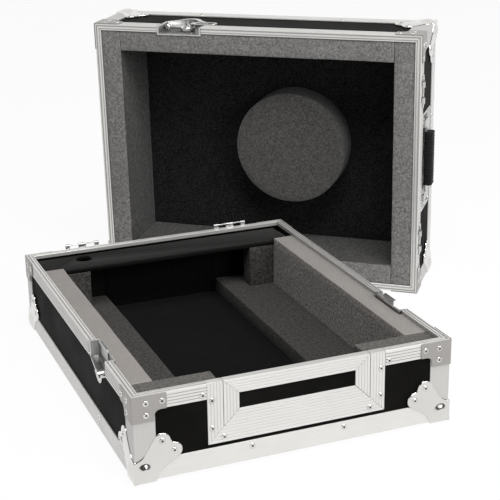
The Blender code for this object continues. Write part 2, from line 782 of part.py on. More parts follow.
def wing():
    """The folding wing, about its pin: a knuckle and a slotted, round-ended plate."""
    knuckle = cylinder(WING_KNUCKLE, -WING_NECK_HALF, WING_NECK_HALF, "Y", 12)
    tip = WING_LENGTH - WING_HALF
    shoulder = WING_NECK + WING_SHOULDER
    outline = [(0, WING_NECK_HALF), (-WING_NECK, WING_NECK_HALF), (-shoulder, WING_HALF)]
    outline += arc((-tip, 0), WING_HALF, 90, 270, 8)
    outline += [(-shoulder, -WING_HALF), (-WING_NECK, -WING_NECK_HALF), (0, -WING_NECK_HALF)]
    slot = arc((-tip, 0), WING_SLOT_HALF, 90, 270, 5)
    slot += arc((-shoulder - WING_SLOT_HALF, 0), WING_SLOT_HALF, -60, 60, 3)
    plate = prism([outline, slot], WING_LOW - WING_AXIS_Z, WING_TOP - WING_AXIS_Z)
    body = combined(knuckle, [plate], "UNION")
    bore = cylinder(WING_PIN_BORE, -WING_HALF, WING_HALF, "Y", 12)
    return combined(body, [bore], "DIFFERENCE")


def handle_sizes():
    """Half height and middle of the handle's dish, between the rim and the edge angle."""
    top = -RIM_OUTER_HEIGHT - HANDLE_EDGE_GAP
    low = -LID_HEIGHT + EDGE_LEG + HANDLE_EDGE_GAP
    return (top - low) / 2, (top + low) / 2


def handle_dish():
    """The handle's recessed dish with two ears for the bail's stubs."""
    half_y, middle = handle_sizes()
    inner_x = HANDLE_HALF - HANDLE_BORDER
    inner_y = half_y - HANDLE_BORDER
    wall = DISH_WALL
    flange = rounded_rectangle(HANDLE_HALF, half_y, HANDLE_CORNER)
    pan = rounded_rectangle(inner_x + wall, inner_y + wall, HANDLE_CORNER)
    recess = rounded_rectangle(inner_x, inner_y, HANDLE_CORNER)
    body = prism([pan], -DISH_DEPTH - wall, DISH_TOP)
    body = combined(body, [prism([flange], DISH_FLANGE_Z, DISH_TOP)], "UNION")
    body = combined(body, [prism([recess], -DISH_DEPTH, CUT_OVER)], "DIFFERENCE")
    pivot_y = inner_y - HANDLE_PIVOT_IN
    ears = []
    for side in (-1, 1):
        outer = side * (inner_x - HANDLE_EAR_IN)
        ends = sorted((outer, outer - side * HANDLE_EAR))
        low = (ends[0], pivot_y - HANDLE_EAR_HALF, -DISH_DEPTH - wall / 2)
        ears.append(box(low, (ends[1], pivot_y + HANDLE_EAR_HALF, HANDLE_EAR_TOP)))
    body = combined(body, ears, "UNION")
    bore_half = inner_x - HANDLE_EAR_IN + GAP
    bore = cylinder(HANDLE_STUB_BORE, -bore_half, bore_half, "X", 16)
    bore = moved(bore, Matrix.Translation((0, pivot_y, HANDLE_PIVOT_Z)))
    return moved(combined(body, [bore], "DIFFERENCE"), Matrix.Translation((0, middle, 0)))


def handle_pivot():
    """Where the bail turns, in the frame of the lid's back wall."""
    half_y, middle = handle_sizes()
    return Vector((0, middle + half_y - HANDLE_BORDER - HANDLE_PIVOT_IN, HANDLE_PIVOT_Z))


def handle_bail():
    """The steel bail about its pivot: two straps, their knuckles and stubs, and the core."""
    ear_inner = HANDLE_HALF - HANDLE_BORDER - HANDLE_EAR_IN - HANDLE_EAR
    strap_out = ear_inner - GAP
    strap_in = GRIP_HALF + GAP
    low = STRAP_LOW - HANDLE_PIVOT_Z
    top = STRAP_TOP - HANDLE_PIVOT_Z
    core_half = strap_in + GAP * 3
    core = box((-core_half, -GRIP_ARM - CORE_HALF, low + GAP),
               (core_half, -GRIP_ARM + CORE_HALF, top - GAP))
    pieces = []
    for side in (-1, 1):
        ends = sorted((side * strap_in, side * strap_out))
        pieces.append(box((ends[0], -STRAP_REACH, low), (ends[1], 0, top)))
        pieces.append(cylinder(HANDLE_KNUCKLE, ends[0], ends[1], "X", 14))
        ends = sorted((side * (strap_out - HANDLE_EAR / 2), side * (ear_inner + HANDLE_EAR - GAP)))
        pieces.append(cylinder(HANDLE_STUB, ends[0], ends[1], "X", 14))
    return combined(core, pieces, "UNION")


def handle_grip():
    """The rubber grip over the bail's core, about the pivot."""
    low = GRIP_LOW - HANDLE_PIVOT_Z
    middle = low + GRIP_THICKNESS / 2
    outer = rounded_rectangle(GRIP_WIDTH / 2, GRIP_THICKNESS / 2, GRIP_CORNER)
    core_low = STRAP_LOW - HANDLE_PIVOT_Z - middle
    core_top = STRAP_TOP - HANDLE_PIVOT_Z - middle
    half = CORE_HALF + GAP
    hole = [(-half, core_low), (half, core_low), (half, core_top), (-half, core_top)]
    tube = prism([outer, hole], -GRIP_HALF, GRIP_HALF)
    return moved(tube, Matrix.Translation((0, -GRIP_ARM, middle)) @ ALONG_X)


def build_hatch(parent, front):
    """The lift-out hatch and the frame of posts and sill round it, on the front wall's frame."""
    edge = HATCH_HALF - GAP / 2
    infill = HATCH_HALF - HATCH_RAIL
    post_in = HATCH_HALF + GAP / 2
    post_out = HATCH_HALF + POST_WIDTH
    sill_top = SILL_TOP - BASE_HEIGHT
    floor = sill_top - HATCH_RAIL
    slant = GAP * math.sqrt(2)
    half_leg = TRIM_LEG / 2

    skin = [
        (-post_out, 0), (-post_out, floor - POST_WIDTH), (post_out, floor - POST_WIDTH),
        (post_out, 0), (post_in, 0), (post_in, floor), (infill, sill_top),
        (-infill, sill_top), (-post_in, floor), (-post_in, 0),
    ]
    additions = []
    heads = []
    for side in (-1, 1):
        web = sorted((side * post_in, side * (post_in + POST_WEB)))
        low = floor + GAP
        tongue_z = -INNER - TRIM_INNER_LEG / 2
        additions.append(box((web[0], low, tongue_z), (web[1], -half_leg, -half_leg)))
        cap = sorted((side * post_in, side * post_out))
        additions.append(box((cap[0], -TRIM_LEG, -RIM_DEPTH), (cap[1], 0, -half_leg)))
        tongue = sorted((side * (HATCH_HALF - POST_TONGUE_IN), side * (post_in + POST_TONGUE_OUT)))
        tongue_top = -RIM_INNER_HEIGHT - GAP
        additions.append(box((tongue[0], low, -RIM_DEPTH), (tongue[1], tongue_top, -INNER)))
        across = side * (post_out - POST_RIVET_SIDE)
        spots = ((across, -POST_RIVET_TOP), (across, -POST_RIVET_LOW))
        spots += ((side * HATCH_HALF, floor - POST_WIDTH + SILL_RIVET_DROP),)
        for along, up in spots:
            heads.append(moved(rivet_head(), Matrix.Translation((along, up, 0))))
    frame = combined(prism([skin], -TRIM_LEG, 0), additions + [merged(heads)], "UNION")
    add_part("hatch_frame", moved(frame, front), "aluminium", parent, 30)

    slide = add_frame("front_hatch_slide", parent, Matrix.Identity(4))
    panel = box((-edge, floor + GAP, -WALL_IN), (edge, -PANEL_SET, -PANEL_SET))
    add_part("hatch_panel", moved(panel, front), "laminate", slide)

    skin = [
        (-edge, 0), (-edge, floor + slant), (-infill, sill_top + slant),
        (-infill, -HATCH_TOP_RAIL), (infill, -HATCH_TOP_RAIL),
        (infill, sill_top + slant), (edge, floor + slant), (edge, 0),
    ]
    web = box((-edge, -TRIM_LEG, -RIM_DEPTH), (edge, 0, -half_leg))
    leg = box((-edge, -RIM_INNER_HEIGHT, -RIM_DEPTH), (edge, -half_leg, -INNER))
    trim = combined(prism([skin], -TRIM_LEG, 0), [web, leg], "UNION")
    add_part("hatch_trim", moved(trim, front), "aluminium", slide)


def build_base_foam(parent, frames):
    """The padding, the ledges with their shelf blocks, and the shelf of the base."""
    inner_x = HALF_WIDTH - INNER
    inner_y = HALF_DEPTH - INNER
    top = BASE_HEIGHT - RIM_INNER_HEIGHT - GAP
    bar_in = inner_x - SIDE_FOAM
    front_back = -inner_y + FRONT_FOAM
    shelf_front = inner_y - SHELF_DEPTH
    shelf_top = BASE_HEIGHT - SHELF_DROP
    shelf_low = shelf_top - SHELF_THICKNESS
    seat = shelf_low - GAP
    over = CUT_OVER
    for side, name in ((-1, "left"), (1, "right")):
        ends = sorted((side * bar_in, side * inner_x))
        bar = box((ends[0], front_back + GAP, INNER), (ends[1], inner_y, top))
        notch = box((ends[0] - over, shelf_front - GAP, seat),
                    (ends[1] + over, inner_y + over, top + over))
        pocket = moved(pocket_cut(KEEPER_REACH), frames[name])
        bar = combined(bar, [notch, pocket], "DIFFERENCE")
        add_part(f"foam_bar_{name}", bar, "foam_light", parent)

        ends = sorted((side * (HATCH_HALF - GAP), side * inner_x))
        block = box((ends[0], -inner_y, INNER), (ends[1], front_back, top))
        tongue = sorted((side * (HATCH_HALF - POST_TONGUE_IN),
                         side * (HATCH_HALF + GAP / 2 + POST_TONGUE_OUT + GAP)))
        relief = box((tongue[0], -inner_y - over, INNER - over),
                     (tongue[1], -HALF_DEPTH + RIM_DEPTH + GAP, top + over))
        add_part(f"foam_front_{name}", combined(block, [relief], "DIFFERENCE"), "foam_light", parent)

        outer = bar_in - GAP
        ledge_top = INNER + LEDGE_HEIGHT
        ends = sorted((side * (outer - LEDGE_WIDTH), side * outer))
        ledge = box((ends[0], front_back + GAP, INNER), (ends[1], inner_y, ledge_top))
        ends = sorted((side * (outer - SHELF_POST_WIDTH), side * outer))
        back = shelf_front + SHELF_POST_DEPTH
        block = box((ends[0], shelf_front, INNER + LEDGE_HEIGHT / 2), (ends[1], back, seat))
        add_part(f"foam_ledge_{name}", combined(ledge, [block], "UNION"), "foam_dark", parent)

    half = inner_x - SHELF_SIDE_GAP
    shelf = box((-half, shelf_front, shelf_low), (half, inner_y, shelf_top))
    hole_x = -HALF_WIDTH + CABLE_HOLE_FROM_SIDE
    hole_y = HALF_DEPTH - CABLE_HOLE_FROM_BACK
    hole = cylinder(CABLE_HOLE_RADIUS, shelf_low - over, shelf_top + over, "Z", 32)
    hole = moved(hole, Matrix.Translation((hole_x, hole_y, 0)))
    shelf = combined(shelf, [hole], "DIFFERENCE")
    add_part("rear_shelf", shelf, "foam_dark", parent, 30)


def build_lid_foam(parent, frames, handle_pocket):
    """The foam ring and the round pad of the lid."""
    ring_mesh = ring(RIM_DEPTH + GAP, LID_FOAM_IN, INNER, LID_HEIGHT - LID_FOAM_DROP)
    pockets = [moved(pocket_cut(LATCH_REACH), frame) for frame in frames.values()]
    ring_mesh = combined(ring_mesh, [merged(pockets + [handle_pocket])], "DIFFERENCE")
    add_part("lid_foam_ring", ring_mesh, "foam_light", parent)

    disc = cylinder(DISC_RADIUS, INNER, INNER + DISC_THICKNESS, "Z", 64)
    disc = moved(disc, Matrix.Translation((0, HALF_DEPTH - DISC_FROM_BACK, 0)))
    add_part("lid_foam_disc", disc, "foam_dark", parent, 30)


def build_balls(prefix, parent):
    for name, frame in corner_frames(0).items():
        add_part(f"{prefix}_ball_corner_{name}", moved(BALL, frame), "aluminium", parent, 40)


def wall_holes(frames, cutter):
    """The cutters for the latch dishes, listed for each wall."""
    holes = {side: [] for side in WALLS}
    for side, frame in frames.items():
        holes[side].append(moved(cutter, frame))
    return holes


def build_base(parent):
    """Everything of the base, with the hatch, the keepers and the hinges' pins."""
    height = BASE_HEIGHT
    over = CUT_OVER
    frames = latch_frames(height)
    front = wall_frame("front", height)
    holes = wall_holes(frames, latch_cut(KEEPER_REACH, KEEPER_STRAIGHT, KEEPER_NOSE))
    half = HATCH_HALF + GAP / 2 + POST_WEB + GAP
    notch_low = SILL_TOP - HATCH_RAIL - height
    notch = box((-half, notch_low, -WALL_IN - over), (half, over, over))
    holes["front"].append(moved(notch, front))
    build_panels("base", height, parent, holes)

    cutters = [moved(rim_cut(), frame) for frame in frames.values()]
    half = HATCH_HALF + POST_WIDTH + GAP
    gate = box((-half, -RIM_OUTER_HEIGHT - over, -RIM_DEPTH - over), (half, over, over))
    cutters.append(moved(gate, front))
    build_rims("base", height, parent, cutters)
    build_edge_frame("base_edge_frame", height, parent)
    build_balls("base", parent)
    keeper_mesh = keeper()
    for name, frame in frames.items():
        add_part(f"latch_keeper_{name}", moved(keeper_mesh, frame), "chrome", parent)
    for name, frame in hinge_frames(height).items():
        add_part(f"hinge_pin_{name}", moved(hinge_pin(), frame), "chrome", parent, 40)
    build_hatch(parent, front)
    build_base_foam(parent, frames)


def build_latches(parent, frames):
    """The two latch dishes with their rotors and wings."""
    rotor_mesh = rotor()
    wing_mesh = wing()
    for name, frame in frames.items():
        turned = name in TURNED_LATCHES
        offset = PIVOT_OFFSET if turned else -PIVOT_OFFSET
        add_part(f"latch_dish_{name}", moved(latch_dish(offset), frame), "chrome", parent, 30)
        pivot = Matrix.Translation((offset, -PIVOT_DROP, 0))
        turn = Matrix.Rotation(math.pi if turned else 0, 4, "Z")
        axis = add_frame(f"latch_axis_{name}", parent, frame @ pivot @ turn)
        add_part(f"latch_rotor_{name}", rotor_mesh.copy(), "chrome", axis, 30)
        pin = Matrix.Translation((WING_AXIS_X, 0, WING_AXIS_Z))
        hinge = add_frame(f"wing_axis_{name}", axis, pin)
        add_part(f"latch_wing_{name}", wing_mesh.copy(), "chrome", hinge, 30)


def build_handle(parent, back):
    """The recessed spring handle in the back wall of the lid."""
    add_part("handle_dish", moved(handle_dish(), back), "chrome", parent, 30)
    axis = add_frame("handle_axis", parent, back @ Matrix.Translation(handle_pivot()))
    add_part("handle_bail", handle_bail(), "chrome", axis, 30)
    add_part("handle_grip", handle_grip(), "rubber", axis, 30)


def build_lid(parent):
    """Everything of the lid, with the latches, the hinges' hooks and the handle."""
    height = LID_HEIGHT
    frames = latch_frames(height)
    back = wall_frame("back", height)
    holes = wall_holes(frames, latch_cut(LATCH_REACH, LATCH_STRAIGHT, LATCH_NOSE))
    half_y, middle = handle_sizes()
    grow = DISH_WALL + GAP - HANDLE_BORDER
    low = (-HANDLE_HALF - grow, middle - half_y - grow, -DISH_DEPTH - DISH_WALL - GAP)
    handle_cut = moved(box(low, (HANDLE_HALF + grow, middle + half_y + grow, 0)), back)
    holes["back"].append(handle_cut)
    build_panels("lid", height, parent, holes)
    build_rims("lid", height, parent, [moved(rim_cut(), frame) for frame in frames.values()])
    build_edge_frame("lid_edge_frame", height, parent)
    build_balls("lid", parent)
    build_latches(parent, frames)
    for name, frame in hinge_frames(height).items():
        add_part(f"hinge_hook_{name}", moved(hinge_hook(), frame), "chrome", parent, 40)
    build_handle(parent, back)
    build_lid_foam(parent, frames, handle_cut)


def lid_standing_frame():
    """Where the lid stands: on its right wall's braces and ball corners, level on both."""
    feet = [(-vert.co.y, -vert.co.z) for vert in BRACE.vertices]
    feet += [(-vert.co.y, LID_HEIGHT - vert.co.z) for vert in BALL.vertices]
    near = [foot for foot in feet if foot[1] < LID_HEIGHT / 2]
    far = [foot for foot in feet if foot[1] > LID_HEIGHT / 2]
    lean = 0
    for _ in range(10):
        down, along = math.cos(lean), math.sin(lean)
        rim_foot = max(near, key=lambda foot: foot[0] * down - foot[1] * along)
        ball_foot = max(far, key=lambda foot: foot[0] * down - foot[1] * along)
        lean = math.atan2(ball_foot[0] - rim_foot[0], ball_foot[1] - rim_foot[1])
    ground = -BALL_OUT
    height = ground + rim_foot[0] * math.cos(lean) - rim_foot[1] * math.sin(lean)
    shift = Matrix.Translation((HALF_WIDTH + LID_SHIFT_X, HALF_DEPTH + LID_SHIFT_Y, height))
    turn = Matrix.Rotation(LID_TURN, 4, "Z") @ Matrix.Rotation(lean, 4, "X")
    on_side = Matrix(
        ((0, 1, 0, -HALF_DEPTH), (0, 0, -1, LID_HEIGHT), (-1, 0, 0, HALF_WIDTH), (0, 0, 0, 1))
    )
    return shift @ turn @ on_side


def centre_on_origin(frames):
    """Move both halves so that the bottom middle of the whole case's box is the origin."""
    bpy.context.view_layer.update()
    places = []
    for part in PARTS.objects:
        if part.type == "MESH":
            places += [part.matrix_world @ vert.co for vert in part.data.vertices]
    low = Vector(map(min, zip(*places)))
    high = Vector(map(max, zip(*places)))
    for frame in frames:
        frame.location -= Vector(((low.x + high.x) / 2, (low.y + high.y) / 2, low.z))
    bpy.context.view_layer.update()


clear_scene()
PARTS, WORKSHOP = make_collections()
BRACE = brace()
BALL = ball_corner()
base_frame = add_frame("base_frame", None, Matrix.Identity(4))
lid_frame = add_frame("lid_frame", None, lid_standing_frame())
build_base(base_frame)
build_lid(lid_frame)
centre_on_origin((base_frame, lid_frame))
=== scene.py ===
"""Looks of a flight case for a table-top CD player, laid out as a Blender add-on.

Each half of the case is dressed in its own frame: X across the case, Y from front to back,
Z from the closed face to the open rim. On a wall, X runs along the rim, Y points to the rim
(0 at its edge) and Z points out of the case (0 at the face of the edge trim).
"""

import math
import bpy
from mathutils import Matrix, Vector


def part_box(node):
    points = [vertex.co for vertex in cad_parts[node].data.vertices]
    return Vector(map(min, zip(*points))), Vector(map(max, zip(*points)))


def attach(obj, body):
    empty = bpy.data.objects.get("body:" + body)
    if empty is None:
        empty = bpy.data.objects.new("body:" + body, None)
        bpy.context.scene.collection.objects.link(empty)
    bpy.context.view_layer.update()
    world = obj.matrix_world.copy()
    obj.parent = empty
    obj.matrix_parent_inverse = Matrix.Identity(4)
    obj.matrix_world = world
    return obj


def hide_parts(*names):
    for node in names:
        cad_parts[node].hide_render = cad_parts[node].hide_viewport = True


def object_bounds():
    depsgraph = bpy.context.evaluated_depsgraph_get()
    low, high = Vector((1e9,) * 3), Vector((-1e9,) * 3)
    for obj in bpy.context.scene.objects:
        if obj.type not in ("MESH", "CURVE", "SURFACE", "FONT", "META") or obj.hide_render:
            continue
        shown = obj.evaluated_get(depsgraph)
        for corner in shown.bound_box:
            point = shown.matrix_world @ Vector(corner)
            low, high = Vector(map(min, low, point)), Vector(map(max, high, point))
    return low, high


bl_info = {
    "name": "CD player flight case",
    "version": (1, 0, 0),
    "blender": (4, 5, 0),
    "location": "3D Viewport > Sidebar > Flight Case",
    "description": "Dresses the packed case with trim profiles, hardware, foam and finishes",
    "category": "Add Mesh",
}

from types import SimpleNamespace

import bmesh
import bpy
import numpy as np
from bpy.props import FloatProperty, FloatVectorProperty, PointerProperty
from mathutils import Matrix, Vector, noise

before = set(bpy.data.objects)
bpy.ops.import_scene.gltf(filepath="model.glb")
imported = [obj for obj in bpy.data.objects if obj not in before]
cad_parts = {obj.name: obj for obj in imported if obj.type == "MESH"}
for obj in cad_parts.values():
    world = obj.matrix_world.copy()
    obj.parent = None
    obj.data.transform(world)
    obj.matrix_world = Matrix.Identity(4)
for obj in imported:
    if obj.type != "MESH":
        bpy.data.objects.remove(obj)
CAD_BOX = [list(corner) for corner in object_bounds()]

# Sizes of the case that its solids have, in metres
HALF_WIDTH = 0.2075
HALF_DEPTH = 0.266
BASE_HEIGHT = 0.110
LID_HEIGHT = 0.120
GAP = 0.0003
TRIM = 0.0016
PANEL_SET = 0.0019
PANEL = 0.0068
WALL_IN = PANEL_SET + PANEL
INNER = WALL_IN + GAP
INNER_X = HALF_WIDTH - INNER
INNER_Y = HALF_DEPTH - INNER
RIM_DEPTH = INNER + 0.0014
RIM_OUTER = 0.020
RIM_INNER = 0.0052
EDGE_LEG = 0.0260
EDGE_RIVET_ALONG = 0.147
EDGE_RIVET_SET = 0.0075
FLARE_CENTRE = 0.003
FLARE_RADIUS = 0.0225
FLARE_OUT = 0.0015
CORNER_LEG = 0.0275
CORNER_CLIP = 0.010
SIDE_LATCH = 0.122
HINGE_ALONG = 0.120
LATCH_OPENING = 0.0373
HATCH_HALF = 0.096
HATCH_INFILL = 0.076
HATCH_TOP_RAIL = 0.0185
POST_OUT = 0.116
POST_RIVET_IN = 0.0055
SILL_TOP = -0.039
SILL_FLOOR = -0.059
SILL_LOW = -0.079
BRACE_OUT = 0.0013
BRACE_LENGTH = 0.042
BRACE_ARM = 0.0265
BRACE_BAND = 0.020
BRACE_DROP = 0.0338
PLATE_OUT = 0.0013
BALL_OUT = 0.005
BALL_INSET = 0.0122
BALL_RADIUS = 0.0174
LOBE_NEAR = 0.0345
LOBE_FAR = 0.049
LOBE_RADIUS = 0.0102
LOBE_NECK = 0.0110
DISH_DEPTH = 0.012
DISH_HALF = 0.0335
KEEPER_REACH = 0.036
DISH_REACH = 0.068
PIVOT_DROP = 0.030
PIVOT_OFFSET = 0.0045
WING_PIN_BACK = 0.006
WING_PIN_OUT = -0.0026
HINGE_PLATE = 0.0013
HINGE_HALF = 0.026
HANDLE_NEAR = -0.021
HANDLE_FAR = -0.092
PAN_HALF_X = 0.080
PAN_HALF_Y = 0.0355
BAIL_AXIS_Y = PAN_HALF_Y - 0.0185
BAIL_AXIS_OUT = -0.0055
STRAP_IN = 0.0433
STRAP_OUT = 0.0667
BAR_WIDTH = 0.0315
BLOCK_DEPTH = 0.036
LEDGE_WIDTH = 0.077
LEDGE_HEIGHT = 0.022
SHELF_DEPTH = 0.058
SHELF_DROP = 0.009
SHELF_THICKNESS = 0.0065
CABLE_HOLE = (-HALF_WIDTH + 0.0815, HALF_DEPTH - 0.026)
CABLE_HOLE_RADIUS = 0.012
LID_BAR_IN = 0.0425
PAD_RADIUS = 0.092
PAD_THICKNESS = 0.046
PAD_FROM_BACK = 0.226
FOAM_CELL = 0.012
LID_TURN = math.radians(-39.7)
LID_LEAN = math.radians(1.7781)

# Without a seed, the foam's faces would wander another way in every run
FOAM_SEED = 4

WALLS = {
    "left": (Vector((-1, 0, 0)), HALF_WIDTH, HALF_DEPTH),
    "right": (Vector((1, 0, 0)), HALF_WIDTH, HALF_DEPTH),
    "front": (Vector((0, -1, 0)), HALF_DEPTH, HALF_WIDTH),
    "back": (Vector((0, 1, 0)), HALF_DEPTH, HALF_WIDTH),
}
CORNERS = {
    "front_left": (-1, -1, 0),
    "front_right": (1, -1, 90),
    "back_right": (1, 1, 180),
    "back_left": (-1, 1, 270),
}
# Latches by name: the wall, the place along it, and whether the wing points along +X
LATCHES = {
    "left": ("left", SIDE_LATCH, False),
    "right": ("right", -SIDE_LATCH, True),
}
# Lamps: the place, width and height of each, and the setting that holds its power
LAMPS = (
    ("key_light", (1.3, -2.9, 1.5), 2.1, 1.6, "key_power"),
    ("top_light", (-0.3, -1.3, 2.7), 1.4, 1.4, "top_power"),
)
LAMP_TARGET = (0.0, -0.1, 0.12)
# Grey cards behind the lamps: the place and the radius of each
CARDS = (
    ("ceiling_card", (-0.3, -1.1, 3.0), 3.8),
    ("front_card", (1.9, -4.2, 2.9), 5.4),
)

HERE = Matrix.Identity(4)
MIRROR = Matrix.Diagonal((-1, 1, 1, 1))
# A turned piece's axis is laid down by these
ALONG_Y = Matrix.Rotation(math.pi / 2, 4, "X")
ALONG_X = Matrix.Rotation(math.pi / 2, 4, "Y")
# From a corner of the closed face: its front, its side and its underside
ON_FRONT = Matrix(((1, 0, 0, 0), (0, 0, -1, 0), (0, 1, 0, 0), (0, 0, 0, 1)))
ON_SIDE = Matrix(((0, 0, -1, 0), (1, 0, 0, 0), (0, 1, 0, 0), (0, 0, 0, 1)))
UNDER = Matrix(((1, 0, 0, 0), (0, 1, 0, 0), (0, 0, -1, 0), (0, 0, 0, 1)))


def moved(x, y, z=0.0):
    return Matrix.Translation((x, y, z))


def ordered(side, near, far):
    """Two distances on one side (-1 or 1) of the middle, the lower first."""
    return sorted((side * near, side * far))


def base_place():
    """Frame of the base, found from its front panel."""
    low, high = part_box("base_front_panel")
    corner = Vector((0, -HALF_DEPTH + PANEL_SET, INNER))
    return Matrix.Translation(Vector(((low.x + high.x) / 2, low.y, low.z)) - corner)


def lid_place():
    """Frame of the standing lid, found from its front panel."""
    low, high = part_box("lid_front_panel")
    turn = Matrix.Rotation(LID_TURN, 4, "Z") @ Matrix.Rotation(LID_LEAN, 4, "X")
    turn = turn @ Matrix(((0, 1, 0, 0), (0, 0, -1, 0), (-1, 0, 0, 0), (0, 0, 0, 1)))
    across = -HALF_DEPTH + PANEL_SET + PANEL / 2
    middle = Vector((0, across, (INNER + LID_HEIGHT - PANEL_SET) / 2))
    return Matrix.Translation((low + high) / 2 - turn @ middle) @ turn


HALVES = {"base": (base_place(), BASE_HEIGHT), "lid": (lid_place(), LID_HEIGHT)}


def wall_place(side, height):
    out, distance, _ = WALLS[side]
    up = Vector((0, 0, 1))
    frame = Matrix((up.cross(out), up, out)).transposed().to_4x4()
    frame.translation = out * distance + up * height
    return frame


def corner_place(name, height):
    side_x, side_y, turn = CORNERS[name]
    shift = moved(side_x * HALF_WIDTH, side_y * HALF_DEPTH, height)
    return shift @ Matrix.Rotation(math.radians(turn), 4, "Z")


def latch_place(name, height):
    side, along, _ = LATCHES[name]
    return wall_place(side, height) @ moved(along, 0)


def length_property(name, description, default, low, high):
    return FloatProperty(name=name, description=description, default=default, min=low, max=high,
                         unit="LENGTH", precision=5)


def colour_property(name, description, default):
    return FloatVectorProperty(name=name, description=description, default=default, size=3,
                               min=0.0, max=1.0, subtype="COLOR")


class TrimSizes(bpy.types.PropertyGroup):
    groove_depth: length_property(
        "Groove depth", "Depth of the grooves along the rims and rails", 0.0006, 0.0, 0.0012)
    groove_width: length_property(
        "Groove width", "Width of each groove at the face", 0.0012, 0.0004, 0.002)
    seam: length_property(
        "Mitre gap", "Gap left where two lengths of trim meet", 0.0004, 0.0, 0.0006)
    rivet_radius: length_property(
        "Rivet radius", "Radius of the rivet heads on the trim", 0.0039, 0.002, 0.005)
    rivet_height: length_property(
        "Rivet height", "Height of the rivet heads over their plate", 0.0010, 0.0004, 0.002)


class FoamSizes(bpy.types.PropertyGroup):
    edge: length_property(
        "Edge rounding", "How soft the cut edges of the foam are", 0.0013, 0.0003, 0.003)
    waviness: length_property(
        "Waviness", "How far the cut faces wander from flat", 0.0005, 0.0, 0.0015)
    lining: length_property(
        "Lining", "Thickness of the black lining inside both halves", 0.0015, 0.0005, 0.0016)


class FinishColours(bpy.types.PropertyGroup):
    trim: colour_property(
        "Trim", "Aluminium of the rims, rails and angles", (0.71, 0.70, 0.68))
    brace: colour_property(
        "Braces", "Zinc-plated steel of the corner braces", (0.36, 0.345, 0.33))
    hardware: colour_property(
        "Hardware", "Plated steel of the latches and handle", (0.70, 0.70, 0.69))
    # The mandrel colour is the mandrel's steel, made much darker as painted shade of the rivet's
    # hole
    mandrel: colour_property(
        "Mandrels", "Dark steel left in the middle of each rivet", (0.10, 0.10, 0.10))
    laminate: colour_property(
        "Laminate", "Black laminate of the plywood panels", (0.0055, 0.0053, 0.0049))
    bar_foam: colour_property(
        "Bar foam", "Light grey foam of the base's side bars", (0.30, 0.28, 0.265))
    block_foam: colour_property(
        "Block foam", "Grey foam of the front blocks and ledges", (0.135, 0.128, 0.120))
    lid_foam: colour_property(
        "Lid foam", "Mid grey foam of the lid's ring and pad", (0.19, 0.185, 0.18))
    lining: colour_property(
        "Lining", "Near-black lining", (0.0023, 0.0023, 0.0023))
    rubber: colour_property(
        "Rubber", "Black rubber of the handle's grip", (0.005, 0.005, 0.0055))


class StageSettings(bpy.types.PropertyGroup):
    lens: FloatProperty(
        name="Lens", description="Focal length of the camera",
        default=92.0, min=20.0, max=200.0, unit="CAMERA")
    camera_place: FloatVectorProperty(
        name="Camera place", description="Where the camera stands", subtype="TRANSLATION",
        size=3, unit="LENGTH", default=(-0.6965, -1.6845, 0.7462))
    heading: FloatProperty(
        name="Heading", description="Turn of the camera from +Y about the vertical",
        default=math.radians(-21.87), subtype="ANGLE")
    tilt: FloatProperty(
        name="Tilt", description="How far the camera looks up", default=math.radians(-19.24),
        subtype="ANGLE")
    roll: FloatProperty(
        name="Roll", description="Roll of the camera about its line of sight",
        default=math.radians(0.9), subtype="ANGLE")
    key_power: FloatProperty(
        name="Key light", description="Power of the soft light at the front", default=62.0,
        min=0.0, unit="POWER")
    top_power: FloatProperty(
        name="Top light", description="Power of the soft light overhead", default=72.0,
        min=0.0, unit="POWER")
    daylight: FloatProperty(
        name="Room light", description="Strength of the even light from all round",
        default=0.25, min=0.0, max=1.0)
    floor_size: FloatProperty(
        name="Floor", description="Half the width of the floor", default=9.0, min=2.0,
        unit="LENGTH")


# Making meshes


def linked(item):
    """Put an object in the scene."""
    bpy.context.scene.collection.objects.link(item)
    return item


def baked(item):
    """The mesh that an object shows with its bevels or modifiers. The object itself goes."""
    linked(item)
    bpy.context.view_layer.update()
    graph = bpy.context.evaluated_depsgraph_get()
    mesh = bpy.data.meshes.new_from_object(item.evaluated_get(graph))
    bpy.data.objects.remove(item)
    return mesh


def modified(mesh, kind, **settings):
    """The mesh after one modifier of that kind."""
    item = bpy.data.objects.new("work", mesh)
    modifier = item.modifiers.new("shape", kind)
    for name, value in settings.items():
        setattr(modifier, name, value)
    return baked(item)


def opened(mesh):
    bm = bmesh.new()
    bm.from_mesh(mesh)
    return bm


def closed_up(bm):
    """Turn a bmesh into a mesh as it is."""
    mesh = bpy.data.meshes.new("shape")
    bm.to_mesh(mesh)
    bm.free()
    return mesh


def finished(bm):
    """Turn a bmesh into a mesh with its faces pointing out."""
    bmesh.ops.recalc_face_normals(bm, faces=bm.faces[:])
    return closed_up(bm)


def grain_layer(bm):
    return bm.loops.layers.uv.get("grain") or bm.loops.layers.uv.new("grain")


def flat_grain(bm, along=0):
    """Lay grain coordinates along X (0), Y (1) or Z (2), with the other two across."""
    layer = grain_layer(bm)
    others = [axis for axis in range(3) if axis != along]
    for face in bm.faces:
        for loop in face.loops:
            place = loop.vert.co
            loop[layer].uv = (place[along], place[others[0]] + place[others[1]])


